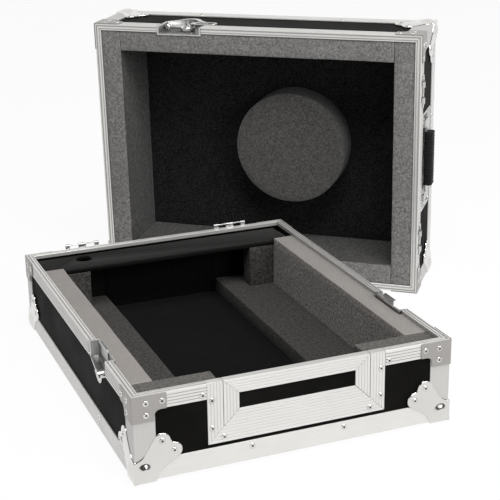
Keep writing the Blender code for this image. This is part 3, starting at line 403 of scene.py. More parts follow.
def add_rail(bm, profile, start, end, place=HERE, shaded_sides=()):
    """Add an extruded length. The profile has (across, out) points. Start and end limit the
    length, each a number, or a function of (across, out) where the end is mitred. Sides whose
    numbers are in the last argument get the second material, a darker colour that is painted
    shade: in the grooves, or over a whole upright."""
    layer = grain_layer(bm)
    limits, rings = [], []
    for limit in (start, end):
        spots = [limit(*point) if callable(limit) else limit for point in profile]
        limits.append(spots)
        rings.append([bm.verts.new(place @ Vector((spot, *point)))
                      for spot, point in zip(spots, profile)])
    distance = 0.0
    count = len(profile)
    for index in range(count):
        after = (index + 1) % count
        beyond = distance + math.dist(profile[index], profile[after])
        face = bm.faces.new((rings[0][index], rings[0][after], rings[1][after], rings[1][index]))
        # The listed sides take the second material, whose darker colour is painted shade
        face.material_index = 1 if index in shaded_sides else 0
        spots = ((limits[0][index], distance), (limits[0][after], beyond),
                 (limits[1][after], beyond), (limits[1][index], distance))
        for loop, spot in zip(face.loops, spots):
            loop[layer].uv = spot
        distance = beyond
    for ring in rings:
        face = bm.faces.new(ring)
        for loop, point in zip(face.loops, profile):
            loop[layer].uv = point


def block(low, high):
    """A plain block between two corners, as a bmesh."""
    low, high = Vector(low), Vector(high)
    bm = bmesh.new()
    shape = Matrix.Translation((low + high) / 2) @ Matrix.Diagonal((*(high - low), 1.0))
    bmesh.ops.create_cube(bm, size=1.0, matrix=shape)
    return bm


def box_into(bm, low, high, place=HERE, edge=0.0002, along=0):
    """Add a box with slightly broken edges."""
    small = block(low, high)
    edge = min(edge, min(Vector(high) - Vector(low)) * 0.3)
    bmesh.ops.bevel(small, geom=small.edges[:], offset=edge, segments=1, affect="EDGES")
    flat_grain(small, along)
    copy_into(bm, small, place)


def copy_into(bm, small, place=HERE):
    """Put a moved copy of a small bmesh into another, and free the small one."""
    bmesh.ops.transform(small, matrix=place, verts=small.verts[:])
    mesh = closed_up(small)
    bm.from_mesh(mesh)
    bpy.data.meshes.remove(mesh)


def spread(bm, mesh, places=(HERE,)):
    """Add a copy of a mesh at each place."""
    for place in places:
        copy = mesh.copy()
        copy.transform(place)
        if place.determinant() < 0:
            copy.flip_normals()
        bm.from_mesh(copy)
        bpy.data.meshes.remove(copy)


def ring_point(radius, angle, height):
    return radius * math.cos(angle), radius * math.sin(angle), height


def turned(profile, sides):
    """A mesh turned round Z from (radius, height) points, closed where the radius is 0."""
    bm = bmesh.new()
    angles = [2 * math.pi * step / sides for step in range(sides)]
    rows = []
    for radius, height in profile:
        spots = [ring_point(radius, angle, height) for angle in angles]
        rows.append([bm.verts.new(spot) for spot in (spots if radius else spots[:1])])
    for row, following in zip(rows, rows[1:]):
        for step in range(sides):
            after = (step + 1) % sides
            if len(following) == 1:
                bm.faces.new((row[step], row[after], following[0]))
            elif len(row) == 1:
                bm.faces.new((row[0], following[after], following[step]))
            else:
                bm.faces.new((row[step], row[after], following[after], following[step]))
    flat_grain(bm)
    return finished(bm)


def plate(loops, low, high, edge, along=0):
    """A plate from a flat outline with any holes, with rounded edges on both faces."""
    curve = bpy.data.curves.new("outline", "CURVE")
    curve.dimensions = "2D"
    curve.fill_mode = "BOTH"
    curve.extrude = (high - low) / 2 - edge
    curve.bevel_depth = edge
    curve.bevel_resolution = 1
    curve.offset = -edge
    for loop in loops:
        spline = curve.splines.new("POLY")
        spline.points.add(len(loop) - 1)
        spline.use_cyclic_u = True
        for point, spot in zip(spline.points, loop):
            point.co = (spot[0], spot[1], 0.0, 1.0)
    mesh = baked(bpy.data.objects.new("outline", curve))
    bm = opened(mesh)
    bpy.data.meshes.remove(mesh)
    bmesh.ops.remove_doubles(bm, verts=bm.verts[:], dist=0.00001)
    bmesh.ops.translate(bm, verts=bm.verts[:], vec=(0, 0, (low + high) / 2))
    flat_grain(bm, along)
    return bm


def cut_away(mesh, cutters):
    """Cut boxes, given as (low, high, place), out of a mesh."""
    bm = bmesh.new()
    for low, high, place in cutters:
        copy_into(bm, block(low, high), place)
    tool = linked(bpy.data.objects.new("cutter", finished(bm)))
    result = modified(mesh, "BOOLEAN", operation="DIFFERENCE", solver="EXACT", object=tool)
    bpy.data.objects.remove(tool)
    return result


def sliced(bm, point, normal, **options):
    """Cut a whole bmesh along a plane."""
    everything = bm.verts[:] + bm.edges[:] + bm.faces[:]
    return bmesh.ops.bisect_plane(bm, geom=everything, plane_co=point, plane_no=normal, **options)


def arc(centre, radius, start, end, steps):
    """Points round a centre, from one angle in degrees to another."""
    points = []
    for step in range(steps + 1):
        angle = math.radians(start + (end - start) * step / steps)
        points.append((centre[0] + radius * math.cos(angle), centre[1] + radius * math.sin(angle)))
    return points


def mirrored(points, middle=()):
    """The points, what joins them, and the same points mirrored left to right."""
    return points + list(middle) + [(-x, y) for x, y in reversed(points)]


def flipped(points, middle=()):
    """The points, what joins them, and the same points mirrored top to bottom."""
    return points + list(middle) + [(x, -y) for x, y in reversed(points)]


def rounded_rectangle(half_x, half_y, radius, steps):
    points = []
    for turn, (side_x, side_y) in enumerate(((1, 1), (-1, 1), (-1, -1), (1, -1))):
        centre = (side_x * (half_x - radius), side_y * (half_y - radius))
        points += arc(centre, radius, 90 * turn, 90 * turn + 90, steps)
    return points


def loft(bm, loops, closed=True, caps=(False, False)):
    """Join loops of points with quads, with a face over the first or last loop if asked."""
    rows = [[bm.verts.new(point) for point in loop] for loop in loops]
    count = len(rows[0])
    for row, following in zip(rows, rows[1:]):
        for index in range(count if closed else count - 1):
            after = (index + 1) % count
            bm.faces.new((row[index], row[after], following[after], following[index]))
    for row, wanted in zip((rows[0], rows[-1]), caps):
        if wanted:
            bm.faces.new(row)


def surface_from_field(values, origin, step):
    """Mesh the zero surface of a grid of signed distances with one point per crossed cell."""
    inside = values < 0
    shape = np.array(values.shape) - 1
    corners = [(i, j, k) for i in (0, 1) for j in (0, 1) for k in (0, 1)]
    count = np.zeros(shape, int)
    for i, j, k in corners:
        count += inside[i:i + shape[0], j:j + shape[1], k:k + shape[2]]
    crossed = (count > 0) & (count < 8)
    number = np.full(shape, -1)
    number[crossed] = np.arange(crossed.sum())
    cells = np.argwhere(crossed)
    total = np.zeros((len(cells), 3))
    hits = np.zeros(len(cells))
    for first in corners:
        for axis in range(3):
            if first[axis]:
                continue
            second = list(first)
            second[axis] = 1
            a = values[tuple((cells + first).T)]
            b = values[tuple((cells + second).T)]
            cross = (a < 0) != (b < 0)
            share = a[cross] / (a[cross] - b[cross])
            total[cross] += np.array(first) + share[:, None] * (np.array(second) - first)
            hits[cross] += 1
    verts = np.array(origin) + (cells + total / hits[:, None]) * step
    quads = []
    for axis in range(3):
        u, v = [other for other in range(3) if other != axis]
        change = inside != np.roll(inside, -1, axis)
        for point in np.argwhere(change):
            if min(point[u], point[v]) < 1 or (point >= shape).any():
                continue
            around = []
            for back_u, back_v in ((0, 0), (1, 0), (1, 1), (0, 1)):
                cell = point.copy()
                cell[u] -= back_u
                cell[v] -= back_v
                around.append(number[tuple(cell)])
            quads.append(around)
    return verts, quads


# Materials


def fill(tree, item, **sockets):
    """Fill a node's sockets with values or links. i0 is its first socket."""
    for name, value in sockets.items():
        socket = item.inputs[int(name[1:]) if name[0] == "i" else name.replace("_", " ")]
        if isinstance(value, bpy.types.NodeSocket):
            tree.links.new(value, socket)
        else:
            socket.default_value = value


def make(tree, kind, settings=None, **sockets):
    """Add a shader node with its options and sockets, and give its first output."""
    item = tree.nodes.new(kind)
    for name, value in (settings or {}).items():
        setattr(item, name, value)
    fill(tree, item, **sockets)
    return item.outputs[0]


def new_finish(name):
    """A new material, its tree, its shader and a socket with places on the object."""
    material = bpy.data.materials.new(name)
    material.use_nodes = True
    tree = material.node_tree
    return material, tree, tree.nodes["Principled BSDF"], object_place(tree)


def object_place(tree):
    return tree.nodes.new("ShaderNodeTexCoord").outputs["Object"]


def shade(colour, factor):
    return tuple(min(1.0, part * factor) for part in colour[:3]) + (1.0,)


def grey(level):
    return (level, level, level, 1.0)


def blended(tree, amount, first, second):
    mix = tree.nodes.new("ShaderNodeMix")
    mix.data_type = "RGBA"
    fill(tree, mix, i0=amount, i6=first, i7=second)
    return mix.outputs[2]


def ranged(tree, value, low, high, out_low, out_high):
    return make(tree, "ShaderNodeMapRange", None, Value=value, From_Min=low, From_Max=high,
                To_Min=out_low, To_Max=out_high)


def worked_out(tree, operation, *values):
    numbered = {f"i{index}": value for index, value in enumerate(values)}
    return make(tree, "ShaderNodeMath", {"operation": operation}, **numbered)


def cloud(tree, place, size, detail=3.0):
    """Noise whose patches are about size metres across."""
    return make(tree, "ShaderNodeTexNoise", None, Vector=place, Scale=1 / size, Detail=detail)


def stretched(tree, place, *scale):
    return make(tree, "ShaderNodeMapping", None, Vector=place, Scale=scale)


def bump(tree, height, strength, distance):
    return make(tree, "ShaderNodeBump", None, Strength=strength, Distance=distance, Height=height)


def drawn_metal(name, colour, metallic, roughness, streak=0.5):
    """Drawn or rolled metal: fine lines along its length, faint smears and rubbed patches."""
    material, tree, shader, place = new_finish(name)
    grain = make(tree, "ShaderNodeUVMap", {"uv_map": "grain"})
    lines = make(tree, "ShaderNodeTexNoise", {"noise_dimensions": "2D"}, Scale=1.0, Detail=2.0,
                 Vector=stretched(tree, grain, 9.0, 2600.0, 1.0))
    smears = cloud(tree, place, 0.05)
    specks = cloud(tree, place, 0.004, 2.0)
    tone = blended(tree, ranged(tree, lines, 0.3, 0.7, 0.0, 1.0),
                   shade(colour, 1 - 0.16 * streak), colour)
    tone = blended(tree, ranged(tree, smears, 0.35, 0.75, 0.0, 0.35), tone, shade(colour, 0.86))
    fill(tree, shader, Base_Color=tone, Metallic=metallic,
         Roughness=worked_out(tree, "MULTIPLY_ADD", smears, 0.22, roughness - 0.11),
         Normal=bump(tree, worked_out(tree, "MULTIPLY_ADD", specks, 0.5, lines), 0.12 * streak,
                     0.0002))
    return material


def plated_metal(name, colour, roughness):
    """Plated pressings: bright, with faint ripples, cloudy patches and rubbed spots."""
    material, tree, shader, place = new_finish(name)
    patches = cloud(tree, place, 0.03)
    worn = ranged(tree, patches, 0.4, 0.7, 0.0, 1.0)
    fill(tree, shader, Base_Color=blended(tree, worn, colour, shade(colour, 0.78)), Metallic=1.0,
         Roughness=ranged(tree, patches, 0.3, 0.7, roughness - 0.05, roughness + 0.12),
         Normal=bump(tree, cloud(tree, place, 0.012, 2.0), 0.25, 0.0008))
    return material


def laminate_finish(name, colour):
    """Satin black laminate with an orange-peel grain, dust and a few pale scuffs."""
    material, tree, shader, place = new_finish(name)
    peel = make(tree, "ShaderNodeTexVoronoi", {"feature": "SMOOTH_F1"}, Vector=place, Scale=900.0)
    dust = cloud(tree, place, 0.06, 6.0)
    marks = cloud(tree, stretched(tree, place, 25.0, 40.0, 900.0), 1.0, 4.0)
    tone = blended(tree, ranged(tree, dust, 0.35, 0.75, 0.0, 1.0), shade(colour, 0.85),
                   shade(colour, 1.5))
    tone = blended(tree, ranged(tree, marks, 0.68, 0.80, 0.0, 0.5), tone, shade(colour, 4.0))
    fill(tree, shader, Base_Color=tone, Roughness=ranged(tree, dust, 0.3, 0.7, 0.5, 0.64),
         Specular_IOR_Level=0.02, Normal=bump(tree, peel, 0.2, 0.0003))
    return material


def foam_finish(name, colour, speckle, cell=0.0016):
    """Cut foam: a mottle of open cells, soft changes of tone and darker blotches."""
    material, tree, shader, place = new_finish(name)
    cells = make(tree, "ShaderNodeTexVoronoi", None, Vector=place, Scale=1 / cell)
    mottle = cloud(tree, place, cell * 2.2, 4.0)
    spots = worked_out(tree, "MULTIPLY_ADD", cells, 0.45, mottle)
    spots = ranged(tree, spots, 0.52, 0.98, 0.0, 1.0)
    tone = blended(tree, spots, shade(colour, 1 - speckle), shade(colour, 1 + speckle))
    slow = ranged(tree, cloud(tree, place, 0.09), 0.3, 0.7, 0.0, 0.35)
    tone = blended(tree, slow, tone, shade(colour, 0.82))
    blotches = ranged(tree, cloud(tree, place, 0.011), 0.35, 0.65, 0.0, speckle * 0.3)
    tone = blended(tree, blotches, tone, shade(colour, 0.5))
    fill(tree, shader, Base_Color=tone, Roughness=0.95, Specular_IOR_Level=0.15,
         Sheen_Weight=0.08, Normal=bump(tree, spots, 0.55, 0.0006))
    return material


def lining_finish(name, colour):
    """Short black felt: fine fibres, lint and a little sheen."""
    material, tree, shader, place = new_finish(name)
    fibres = cloud(tree, place, 0.0022, 5.0)
    lint = cloud(tree, place, 0.02, 6.0)
    tone = blended(tree, ranged(tree, fibres, 0.38, 0.62, 0.0, 1.0), shade(colour, 0.35),
                   shade(colour, 1.9))
    tone = blended(tree, ranged(tree, lint, 0.5, 0.8, 0.0, 0.3), tone, shade(colour, 2.5))
    fill(tree, shader, Base_Color=tone, Roughness=1.0, Specular_IOR_Level=0.1,
         Sheen_Weight=0.03, Normal=bump(tree, fibres, 0.6, 0.0004))
    return material


def rubber_finish(name, colour):
    """Moulded black rubber with a fine matt texture."""
    material, tree, shader, place = new_finish(name)
    worn = cloud(tree, place, 0.015)
    fill(tree, shader, Base_Color=blended(tree, worn, colour, shade(colour, 2.8)),
         Roughness=ranged(tree, worn, 0.3, 0.7, 0.5, 0.7), Specular_IOR_Level=0.12,
         Normal=bump(tree, cloud(tree, place, 0.0008, 2.0), 0.3, 0.0003))
    return material


# Finishes by name: the maker, the colour to start from, how bright it is against that, and
# the maker's other arguments in its own order
FINISHES = {
    "trim aluminium": (drawn_metal, "trim", 1.0, 0.5, 0.40),
    # The corner uprights' copy of the trim is made darker: painted shade
    "upright aluminium": (drawn_metal, "trim", 0.76, 0.5, 0.40),
    # Darker copies of the trim for the groove faces: painted shade in the grooves
    "trim grooves": (drawn_metal, "trim", 0.66, 0.5, 0.5),
    "fine grooves": (drawn_metal, "trim", 0.84, 0.5, 0.45),
    "brace steel": (drawn_metal, "brace", 1.0, 0.6, 0.42, 0.35),
    "ball corner steel": (drawn_metal, "trim", 1.0, 1.0, 0.15, 0.1),
    "plated hardware": (plated_metal, "hardware", 0.85, 0.24),
    # The hardware made darker and rougher for a dish's deep faces: painted shade in the recess
    "recess steel": (plated_metal, "hardware", 0.4, 0.34),
    # The rivets' middles: the mandrel's steel with painted shade of the hole
    "mandrel steel": (plated_metal, "mandrel", 1.0, 0.45),
    "rivet steel": (plated_metal, "trim", 1.0, 0.25),
    "black laminate": (laminate_finish, "laminate", 1.0),
    "bar foam": (foam_finish, "bar_foam", 1.0, 0.08),
    # The base bars' sides: coarser cut cells, and the bar foam made lighter as painted light
    "cut foam": (foam_finish, "bar_foam", 1.2, 0.6, 0.002),
    "block foam": (foam_finish, "block_foam", 0.9, 0.5, 0.0017),
    "ledge foam": (foam_finish, "block_foam", 0.40, 0.7, 0.002),
    "lid foam": (foam_finish, "lid_foam", 1.02, 0.5, 0.0017),
    # The lid bars' sides: coarser cut cells, and the lid foam made much darker as painted shade
    "lid foam sides": (foam_finish, "lid_foam", 0.36, 0.6, 0.0021),
    "pad foam": (foam_finish, "lid_foam", 0.45, 0.5, 0.0017),
    "shelf covering": (foam_finish, "block_foam", 0.07, 0.5),
    "black lining": (lining_finish, "lining", 1.0),
    # The lid's lining is the same lining made lighter: painted light on the lid's upright floor
    "lid lining": (lining_finish, "lining", 5.4),
    "grip rubber": (rubber_finish, "rubber", 1.0),
}


def finish(name):
    """The finish of that name, made the first time it is asked for."""
    found = bpy.data.materials.get(name)
    if found:
        return found
    maker, base, share, *numbers = FINISHES[name]
    colour = shade(getattr(bpy.context.scene.case_colours, base), share)
    return maker(name, colour, *numbers)


def show_piece(name, mesh, looks, place, body, replaces=(), smooth=35):
    """Make a piece from a mesh, put it in place and let it ride on its body."""
    mesh.name = name
    numbers = [face.material_index for face in mesh.polygons]
    mesh.materials.clear()
    for look in (looks,) if isinstance(looks, str) else looks:
        mesh.materials.append(finish(look))
    mesh.polygons.foreach_set("material_index", numbers)
    mesh.shade_smooth()
    mesh.set_sharp_from_angle(angle=math.radians(smooth))
    piece = linked(bpy.data.objects.new(name, mesh))
    piece.matrix_world = place
    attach(piece, body)
    if replaces:
        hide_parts(*replaces)
    return piece


# Trim


def grooved(start, end, count, depth, width):
    """Points from start to end along a face, with evenly spaced grooves in it."""
    points = []
    pitch = (end - start) / (count + 1)
    way = 1 if end > start else -1
    for index in range(count):
        centre = start + pitch * (index + 1)
        for shift, sink in ((-0.5, 0), (-0.25, depth), (0.25, depth), (0.5, 0)):
            points.append((centre + way * shift * width, -sink))
    return points


def groove_sides(profile):
    """Numbers of the profile's sides that lie in a groove, below the faces on either side."""
    found = set()
    level, widest = 1e-6, 0.0025
    count = len(profile)
    for index in range(count):
        before, here = profile[index - 1], profile[index]
        after, beyond = profile[(index + 1) % count], profile[(index + 2) % count]
        for axis in (0, 1):
            flat = abs(here[axis] - after[axis]) < level and math.dist(here, after) < widest
            if flat and before[axis] > here[axis] and beyond[axis] > after[axis]:
                found |= {(index - 1) % count, index, (index + 1) % count}
    return found


def rim_profile(sizes):
    """The rim's section: ridged outer leg, a top with two grooves and a short inner leg."""
    depth, width = sizes.groove_depth, sizes.groove_width
    edge, nose = 0.0004, 0.0008
    points = [(-RIM_OUTER, -TRIM), (-RIM_OUTER, -edge), (-RIM_OUTER + edge, 0)]
    points += grooved(-RIM_OUTER + edge / 2, -0.0006, 4, depth, width)
    points += [(-nose, 0), (-0.00025, -0.00025), (0, -nose)]
    for centre, sink, half in ((-0.0032, 0.0011, 0.0010), (-0.0078, 0.0008, 0.0007)):
        points += [(0, centre + half), (-sink, centre + half * 0.7)]
        points += [(-sink, centre - half * 0.7), (0, centre - half)]
    points += [(0, -RIM_DEPTH + edge), (-edge, -RIM_DEPTH), (-RIM_INNER, -RIM_DEPTH)]
    return points + [(-RIM_INNER, -INNER), (-TRIM, -INNER), (-TRIM, -TRIM)]


def rim_runs(prefix):
    """The lengths of rim for each CAD rim node, as (wall, start, end)."""
    near = SIDE_LATCH - LATCH_OPENING
    far = SIDE_LATCH + LATCH_OPENING
    left = ("left", far, HALF_DEPTH)
    right = ("right", -HALF_DEPTH, -far)
    runs = {"back": (("left", -HALF_DEPTH, near), ("back", -HALF_WIDTH, HALF_WIDTH),
                     ("right", -near, HALF_DEPTH))}
    if prefix == "base":
        gate = POST_OUT + GAP
        runs["front_left"] = (left, ("front", -HALF_WIDTH, -gate))
        runs["front_right"] = (("front", gate, HALF_WIDTH), right)
    else:
        runs["front"] = (left, ("front", -HALF_WIDTH, HALF_WIDTH), right)
    return runs


def mitred(limit, corner, way, seam):
    """A limit of a length that is mitred at the case's corner, and square elsewhere."""
    if abs(abs(limit) - corner) > 0.0001:
        return limit
    return lambda across, out: limit + way * (seam - out)


def add_mitred_rail(bm, profile, side, height, start, end, seam, shaded_sides=()):
    """Add a length of trim on a wall, mitred where it ends at a corner of the case."""
    half = WALLS[side][2]
    add_rail(bm, profile, mitred(start, half, 1, seam), mitred(end, half, -1, seam),
             wall_place(side, height), shaded_sides)


class CASE_OT_rims(bpy.types.Operator):
    """Make the ridged rim extrusions of both halves, mitred at the corners"""

    bl_idname = "case.rims"
    bl_label = "Rim extrusions"

    def execute(self, context):
        sizes = context.scene.case_trim
        profile = rim_profile(sizes)
        # The groove sides take a darker trim: painted shade in the grooves
        shaded_sides = groove_sides(profile)
        for prefix, (place, height) in HALVES.items():
            for words, runs in rim_runs(prefix).items():
                bm = bmesh.new()
                for side, start, end in runs:
                    add_mitred_rail(bm, profile, side, height, start, end, sizes.seam / 2, shaded_sides)
                name = f"{prefix}_rim_{words}"
                show_piece(f"{name}_extrusion", finished(bm), ("trim aluminium", "trim grooves"),
                           place, prefix, (name,), 30)
        return {"FINISHED"}


class CASE_OT_edges(bpy.types.Operator):
    """Make the edge angles round the closed faces and up the corners"""

    bl_idname = "case.edges"
    bl_label = "Edge angles"

    def execute(self, context):
        seam = context.scene.case_trim.seam / 2
        leg, edge = CORNER_LEG, 0.0003
        upright = [(TRIM, leg), (edge, leg), (0, leg - edge)]
        upright += arc((TRIM, TRIM), TRIM, 180, 270, 4)
        upright += [(leg - edge, 0), (leg, edge), (leg, TRIM), (TRIM, TRIM)]
        # The extrusion's length runs along X, so it is stood on end
        stand = Matrix(((0, 1, 0, 0), (0, 0, 1, 0), (1, 0, 0, 0), (0, 0, 0, 1)))
        for prefix, (place, height) in HALVES.items():
            bm = bmesh.new()
            for side, (_, _, half) in WALLS.items():
                add_mitred_rail(bm, self.angle(-height, edge), side, height, -half, half, seam)
            for name in CORNERS:
                self.clip_corner(bm, corner_place(name, 0))
            for name in CORNERS:
                # Every side of an upright takes the darker copy of the trim: painted shade
                add_rail(bm, upright, EDGE_LEG + seam, height - RIM_OUTER - GAP,
                         corner_place(name, 0) @ stand, range(len(upright)))
            show_piece(f"{prefix}_edge_angles", finished(bm),
                       ("trim aluminium", "upright aluminium"), place, prefix,
                       (f"{prefix}_edge_frame",), 30)
        return {"FINISHED"}

    def angle(self, low, edge):
        """Section of the angle round the closed face, with its bend at the low end."""
        bend = 0.0014
        profile = [(low + EDGE_LEG, -TRIM), (low + EDGE_LEG, -edge), (low + EDGE_LEG - edge, 0)]
        profile += arc((low + bend, -bend), bend, 90, 180, 3)
        profile += [(low, -EDGE_LEG + edge), (low + edge, -EDGE_LEG)]
        return profile + [(low + TRIM, -EDGE_LEG), (low + TRIM, -TRIM)]

    def clip_corner(self, bm, place):
        """Take the tip off a corner, where the ball sits."""
        normal = place.to_3x3() @ Vector((1, 1, 1)).normalized()
        point = place @ Vector((CORNER_CLIP / 3,) * 3)
        cut = sliced(bm, point, normal, dist=0.000001, clear_inner=True)
        edges = [item for item in cut["geom_cut"] if isinstance(item, bmesh.types.BMEdge)]
        bmesh.ops.holes_fill(bm, edges=edges, sides=0)


def bent_brace():
    """The flat brace, bent round the corner, in the frame of a rim corner."""
    inside = 0.0009
    half = (inside + BRACE_OUT) * math.pi / 4
    length = BRACE_LENGTH - inside + half
    arm = BRACE_ARM - inside + half
    tip, fillet = 0.0015, 0.0075
    right = arc((length - tip, -tip), tip, 90, 0, 2)
    right += arc((length - tip, -BRACE_BAND + tip), tip, 0, -90, 2)
    right += arc((arm + fillet, -BRACE_BAND - fillet), fillet, 90, 180, 4)
    right += arc((arm - tip, -BRACE_DROP + tip), tip, 0, -90, 2)
    bm = plate([mirrored(right)], GAP, BRACE_OUT, 0.00025)
    for share in (-1, -0.5, 0, 0.5, 1):
        sliced(bm, (half * share, 0, 0), (1, 0, 0))
    flat_grain(bm, 1)
    for vert in bm.verts:
        along, up, out = vert.co
        if along > half:
            vert.co = (inside + along - half, -out, up)
        elif along < -half:
            vert.co = (-out, inside - along - half, up)
        else:
            angle = math.pi / 4 - along / half * math.pi / 4
            reach = inside + out
            vert.co = (inside - reach * math.sin(angle), inside - reach * math.cos(angle), up)
    return finished(bm)


class CASE_OT_braces(bpy.types.Operator):
    """Make the flat braces bent round the rim's corners"""

    bl_idname = "case.braces"
    bl_label = "Corner braces"

    def execute(self, context):
        brace = bent_brace()
        for prefix, (place, height) in HALVES.items():
            bm = bmesh.new()
            spread(bm, brace, [corner_place(name, height) for name in CORNERS])
            show_piece(f"{prefix}_corner_braces", finished(bm), "brace steel", place, prefix,
                       (), 40)
        return {"FINISHED"}


def smooth_least(a, b, width):
    """The lesser of two distances, blended over a width where they meet."""
    share = np.clip(0.5 + 0.5 * (b - a) / width, 0, 1)
    return b * (1 - share) + a * share - width * share * (1 - share)


def tapered_reach(u, v, near, near_radius, far, far_radius):
    """Distance in a plane to two discs of different size and the band that joins them."""
    way = np.array(far) - np.array(near)
    length = float(np.hypot(*way))
    way = way / length
    along = (u - near[0]) * way[0] + (v - near[1]) * way[1]
    side = np.abs(-(u - near[0]) * way[1] + (v - near[1]) * way[0])
    lean = (near_radius - far_radius) / length
    straight = math.sqrt(1 - lean * lean)
    cross = -lean * side + straight * along
    at_near = np.hypot(side, along) - near_radius
    at_far = np.hypot(side, along - length) - far_radius
    between = side * straight + along * lean - near_radius
    return np.where(cross < 0, at_near, np.where(cross > straight * length, at_far, between))


def corner_plate(u, v, out):
    """Signed distance to one face's plate: two lobes that flow into the flare of the ball."""
    edge, thickness = 0.0006, 0.003
    middle = (BALL_INSET, BALL_INSET)
    lobes = [tapered_reach(u, v, middle, LOBE_NECK, far, LOBE_RADIUS)
             for far in ((LOBE_FAR, LOBE_NEAR), (LOBE_NEAR, LOBE_FAR))]
    beyond = -np.minimum(u, v) - FLARE_OUT
    foot = np.hypot(u - FLARE_CENTRE, v - FLARE_CENTRE) - FLARE_RADIUS
    foot = np.maximum(foot, beyond)
    flat = smooth_least(smooth_least(*lobes, 0.009), foot, 0.012) + edge
    flat = np.maximum(flat, beyond + edge)
    over = -out - PLATE_OUT + edge
    solid = np.hypot(np.maximum(flat, 0), np.maximum(over, 0))
    solid += np.minimum(np.maximum(flat, over), 0) - edge
    return np.maximum(solid, out - thickness)


def ball_corner():
    """A pressed ball corner: a ball that flows into a two-lobed plate on each face."""
    step = 0.0008
    low, high = -0.0070, 0.0605
    line = np.arange(low, high, step)
    x, y, z = np.meshgrid(line, line, line, indexing="ij")
    ball = np.sqrt(sum((axis - BALL_INSET) ** 2 for axis in (x, y, z))) - BALL_RADIUS
    plates = [corner_plate(u, v, out) for u, v, out in ((x, y, z), (y, z, x), (z, x, y))]
    body = smooth_least(ball, np.minimum.reduce(plates), 0.0025)
    for out in (x, y, z):
        body = -smooth_least(-body, out + BALL_OUT, 0.0012)
    verts, quads = surface_from_field(body, (low,) * 3, step)
    hidden = (verts > -GAP * 0.5).all(axis=1)
    kept = [quad for quad in quads if not all(hidden[index] for index in quad)]
    mesh = bpy.data.meshes.new("ball corner")
    mesh.from_pydata(verts.tolist(), [], kept)
    bm = opened(mesh)
    loose = [vert for vert in bm.verts if not vert.link_faces]
    bmesh.ops.delete(bm, geom=loose, context="VERTS")
    bmesh.ops.recalc_face_normals(bm, faces=bm.faces[:])
    lowest = min(bm.faces, key=lambda face: face.calc_center_median().z)
    if lowest.normal.z > 0:
        bmesh.ops.reverse_faces(bm, faces=bm.faces[:])
    flat_grain(bm)
    return modified(closed_up(bm), "DECIMATE", ratio=0.16)


class CASE_OT_balls(bpy.types.Operator):
    """Make the eight ball corners, each flowing into its three lobed plates"""

    bl_idname = "case.balls"
    bl_label = "Ball corners"

    def execute(self, context):
        corner = ball_corner()
        for prefix, (place, _) in HALVES.items():
            for name in CORNERS:
                node = f"{prefix}_ball_corner_{name}"
                show_piece(f"{node}_pressing", corner.copy(), "ball corner steel",
                           place @ corner_place(name, 0), prefix, (node,), 50)
        return {"FINISHED"}


def rivet(radius, height, sides=14):
    """A pop rivet's head: a low dome with the dimple that its mandrel left."""
    shares = ((1, 0.25), (0.93, 0.55), (0.74, 0.86), (0.52, 1), (0.38, 0.97), (0.31, 0.45),
              (0.2, 0.3), (0, 0.34))
    profile = [(radius, -0.0002)] + [(radius * out, height * up) for out, up in shares]
    mesh = turned(profile, sides)
    # The middle of the head takes the dark mandrel material: the mandrel's steel with painted
    # shade of its hole
    for face in mesh.polygons:
        if math.hypot(face.center.x, face.center.y) < radius * 0.36:
            face.material_index = 1
    return mesh


def rivet_spots(prefix, height):
    """Where the rivets sit on one half: braces, ball corners, edge angles and posts."""
    spots = []
    for name in CORNERS:
        rim = corner_place(name, height)
        for across, drop in ((0.0165, 0.010), (0.036, 0.010), (0.0165, 0.025)):
            seat = moved(across, -drop, BRACE_OUT)
            spots += [rim @ ON_FRONT @ seat, rim @ ON_SIDE @ seat]
        closed = corner_place(name, 0)
        for across, up in ((LOBE_FAR, LOBE_NEAR), (LOBE_NEAR, LOBE_FAR)):
            seat = moved(across, up, PLATE_OUT)
            spots += [closed @ turn @ seat for turn in (ON_FRONT, ON_SIDE, UNDER)]
    for side, (_, _, half) in WALLS.items():
        for along in (EDGE_RIVET_ALONG - half, half - EDGE_RIVET_ALONG):
            spots.append(wall_place(side, height)
                         @ moved(along, EDGE_LEG - EDGE_RIVET_SET - height))
    if prefix == "base":
        post = POST_OUT - POST_RIVET_IN
        for side in (-1, 1):
            for along, up in ((post, -0.0225), (post, -0.0585), (HATCH_HALF, SILL_LOW + 0.007),
                              (POST_OUT + POST_RIVET_IN, -0.014)):
                spots.append(wall_place("front", height) @ moved(side * along, up))
    return spots


class CASE_OT_rivets(bpy.types.Operator):
    """Set the domed rivets on the trim, braces and ball corners of both halves"""

    bl_idname = "case.rivets"
    bl_label = "Rivets"

    def execute(self, context):
        sizes = context.scene.case_trim
        head = rivet(sizes.rivet_radius, sizes.rivet_height)
        for prefix, (place, height) in HALVES.items():
            bm = bmesh.new()
            spread(bm, head, rivet_spots(prefix, height))
            show_piece(f"{prefix}_rivets", finished(bm), ("rivet steel", "mandrel steel"), place,
                       prefix, (), 60)
        return {"FINISHED"}


# Front hatch


def flat_rail(low, high, count, sizes):
    """Section of a ridged rail lying on the front: (across, out) points."""
    edge = 0.0003
    points = [(low, -TRIM), (low, -edge), (low + edge, 0)]
    points += grooved(low, high, count, sizes.groove_depth * 0.5, sizes.groove_width)
    return points + [(high - edge, 0), (high, -edge), (high, -TRIM)]


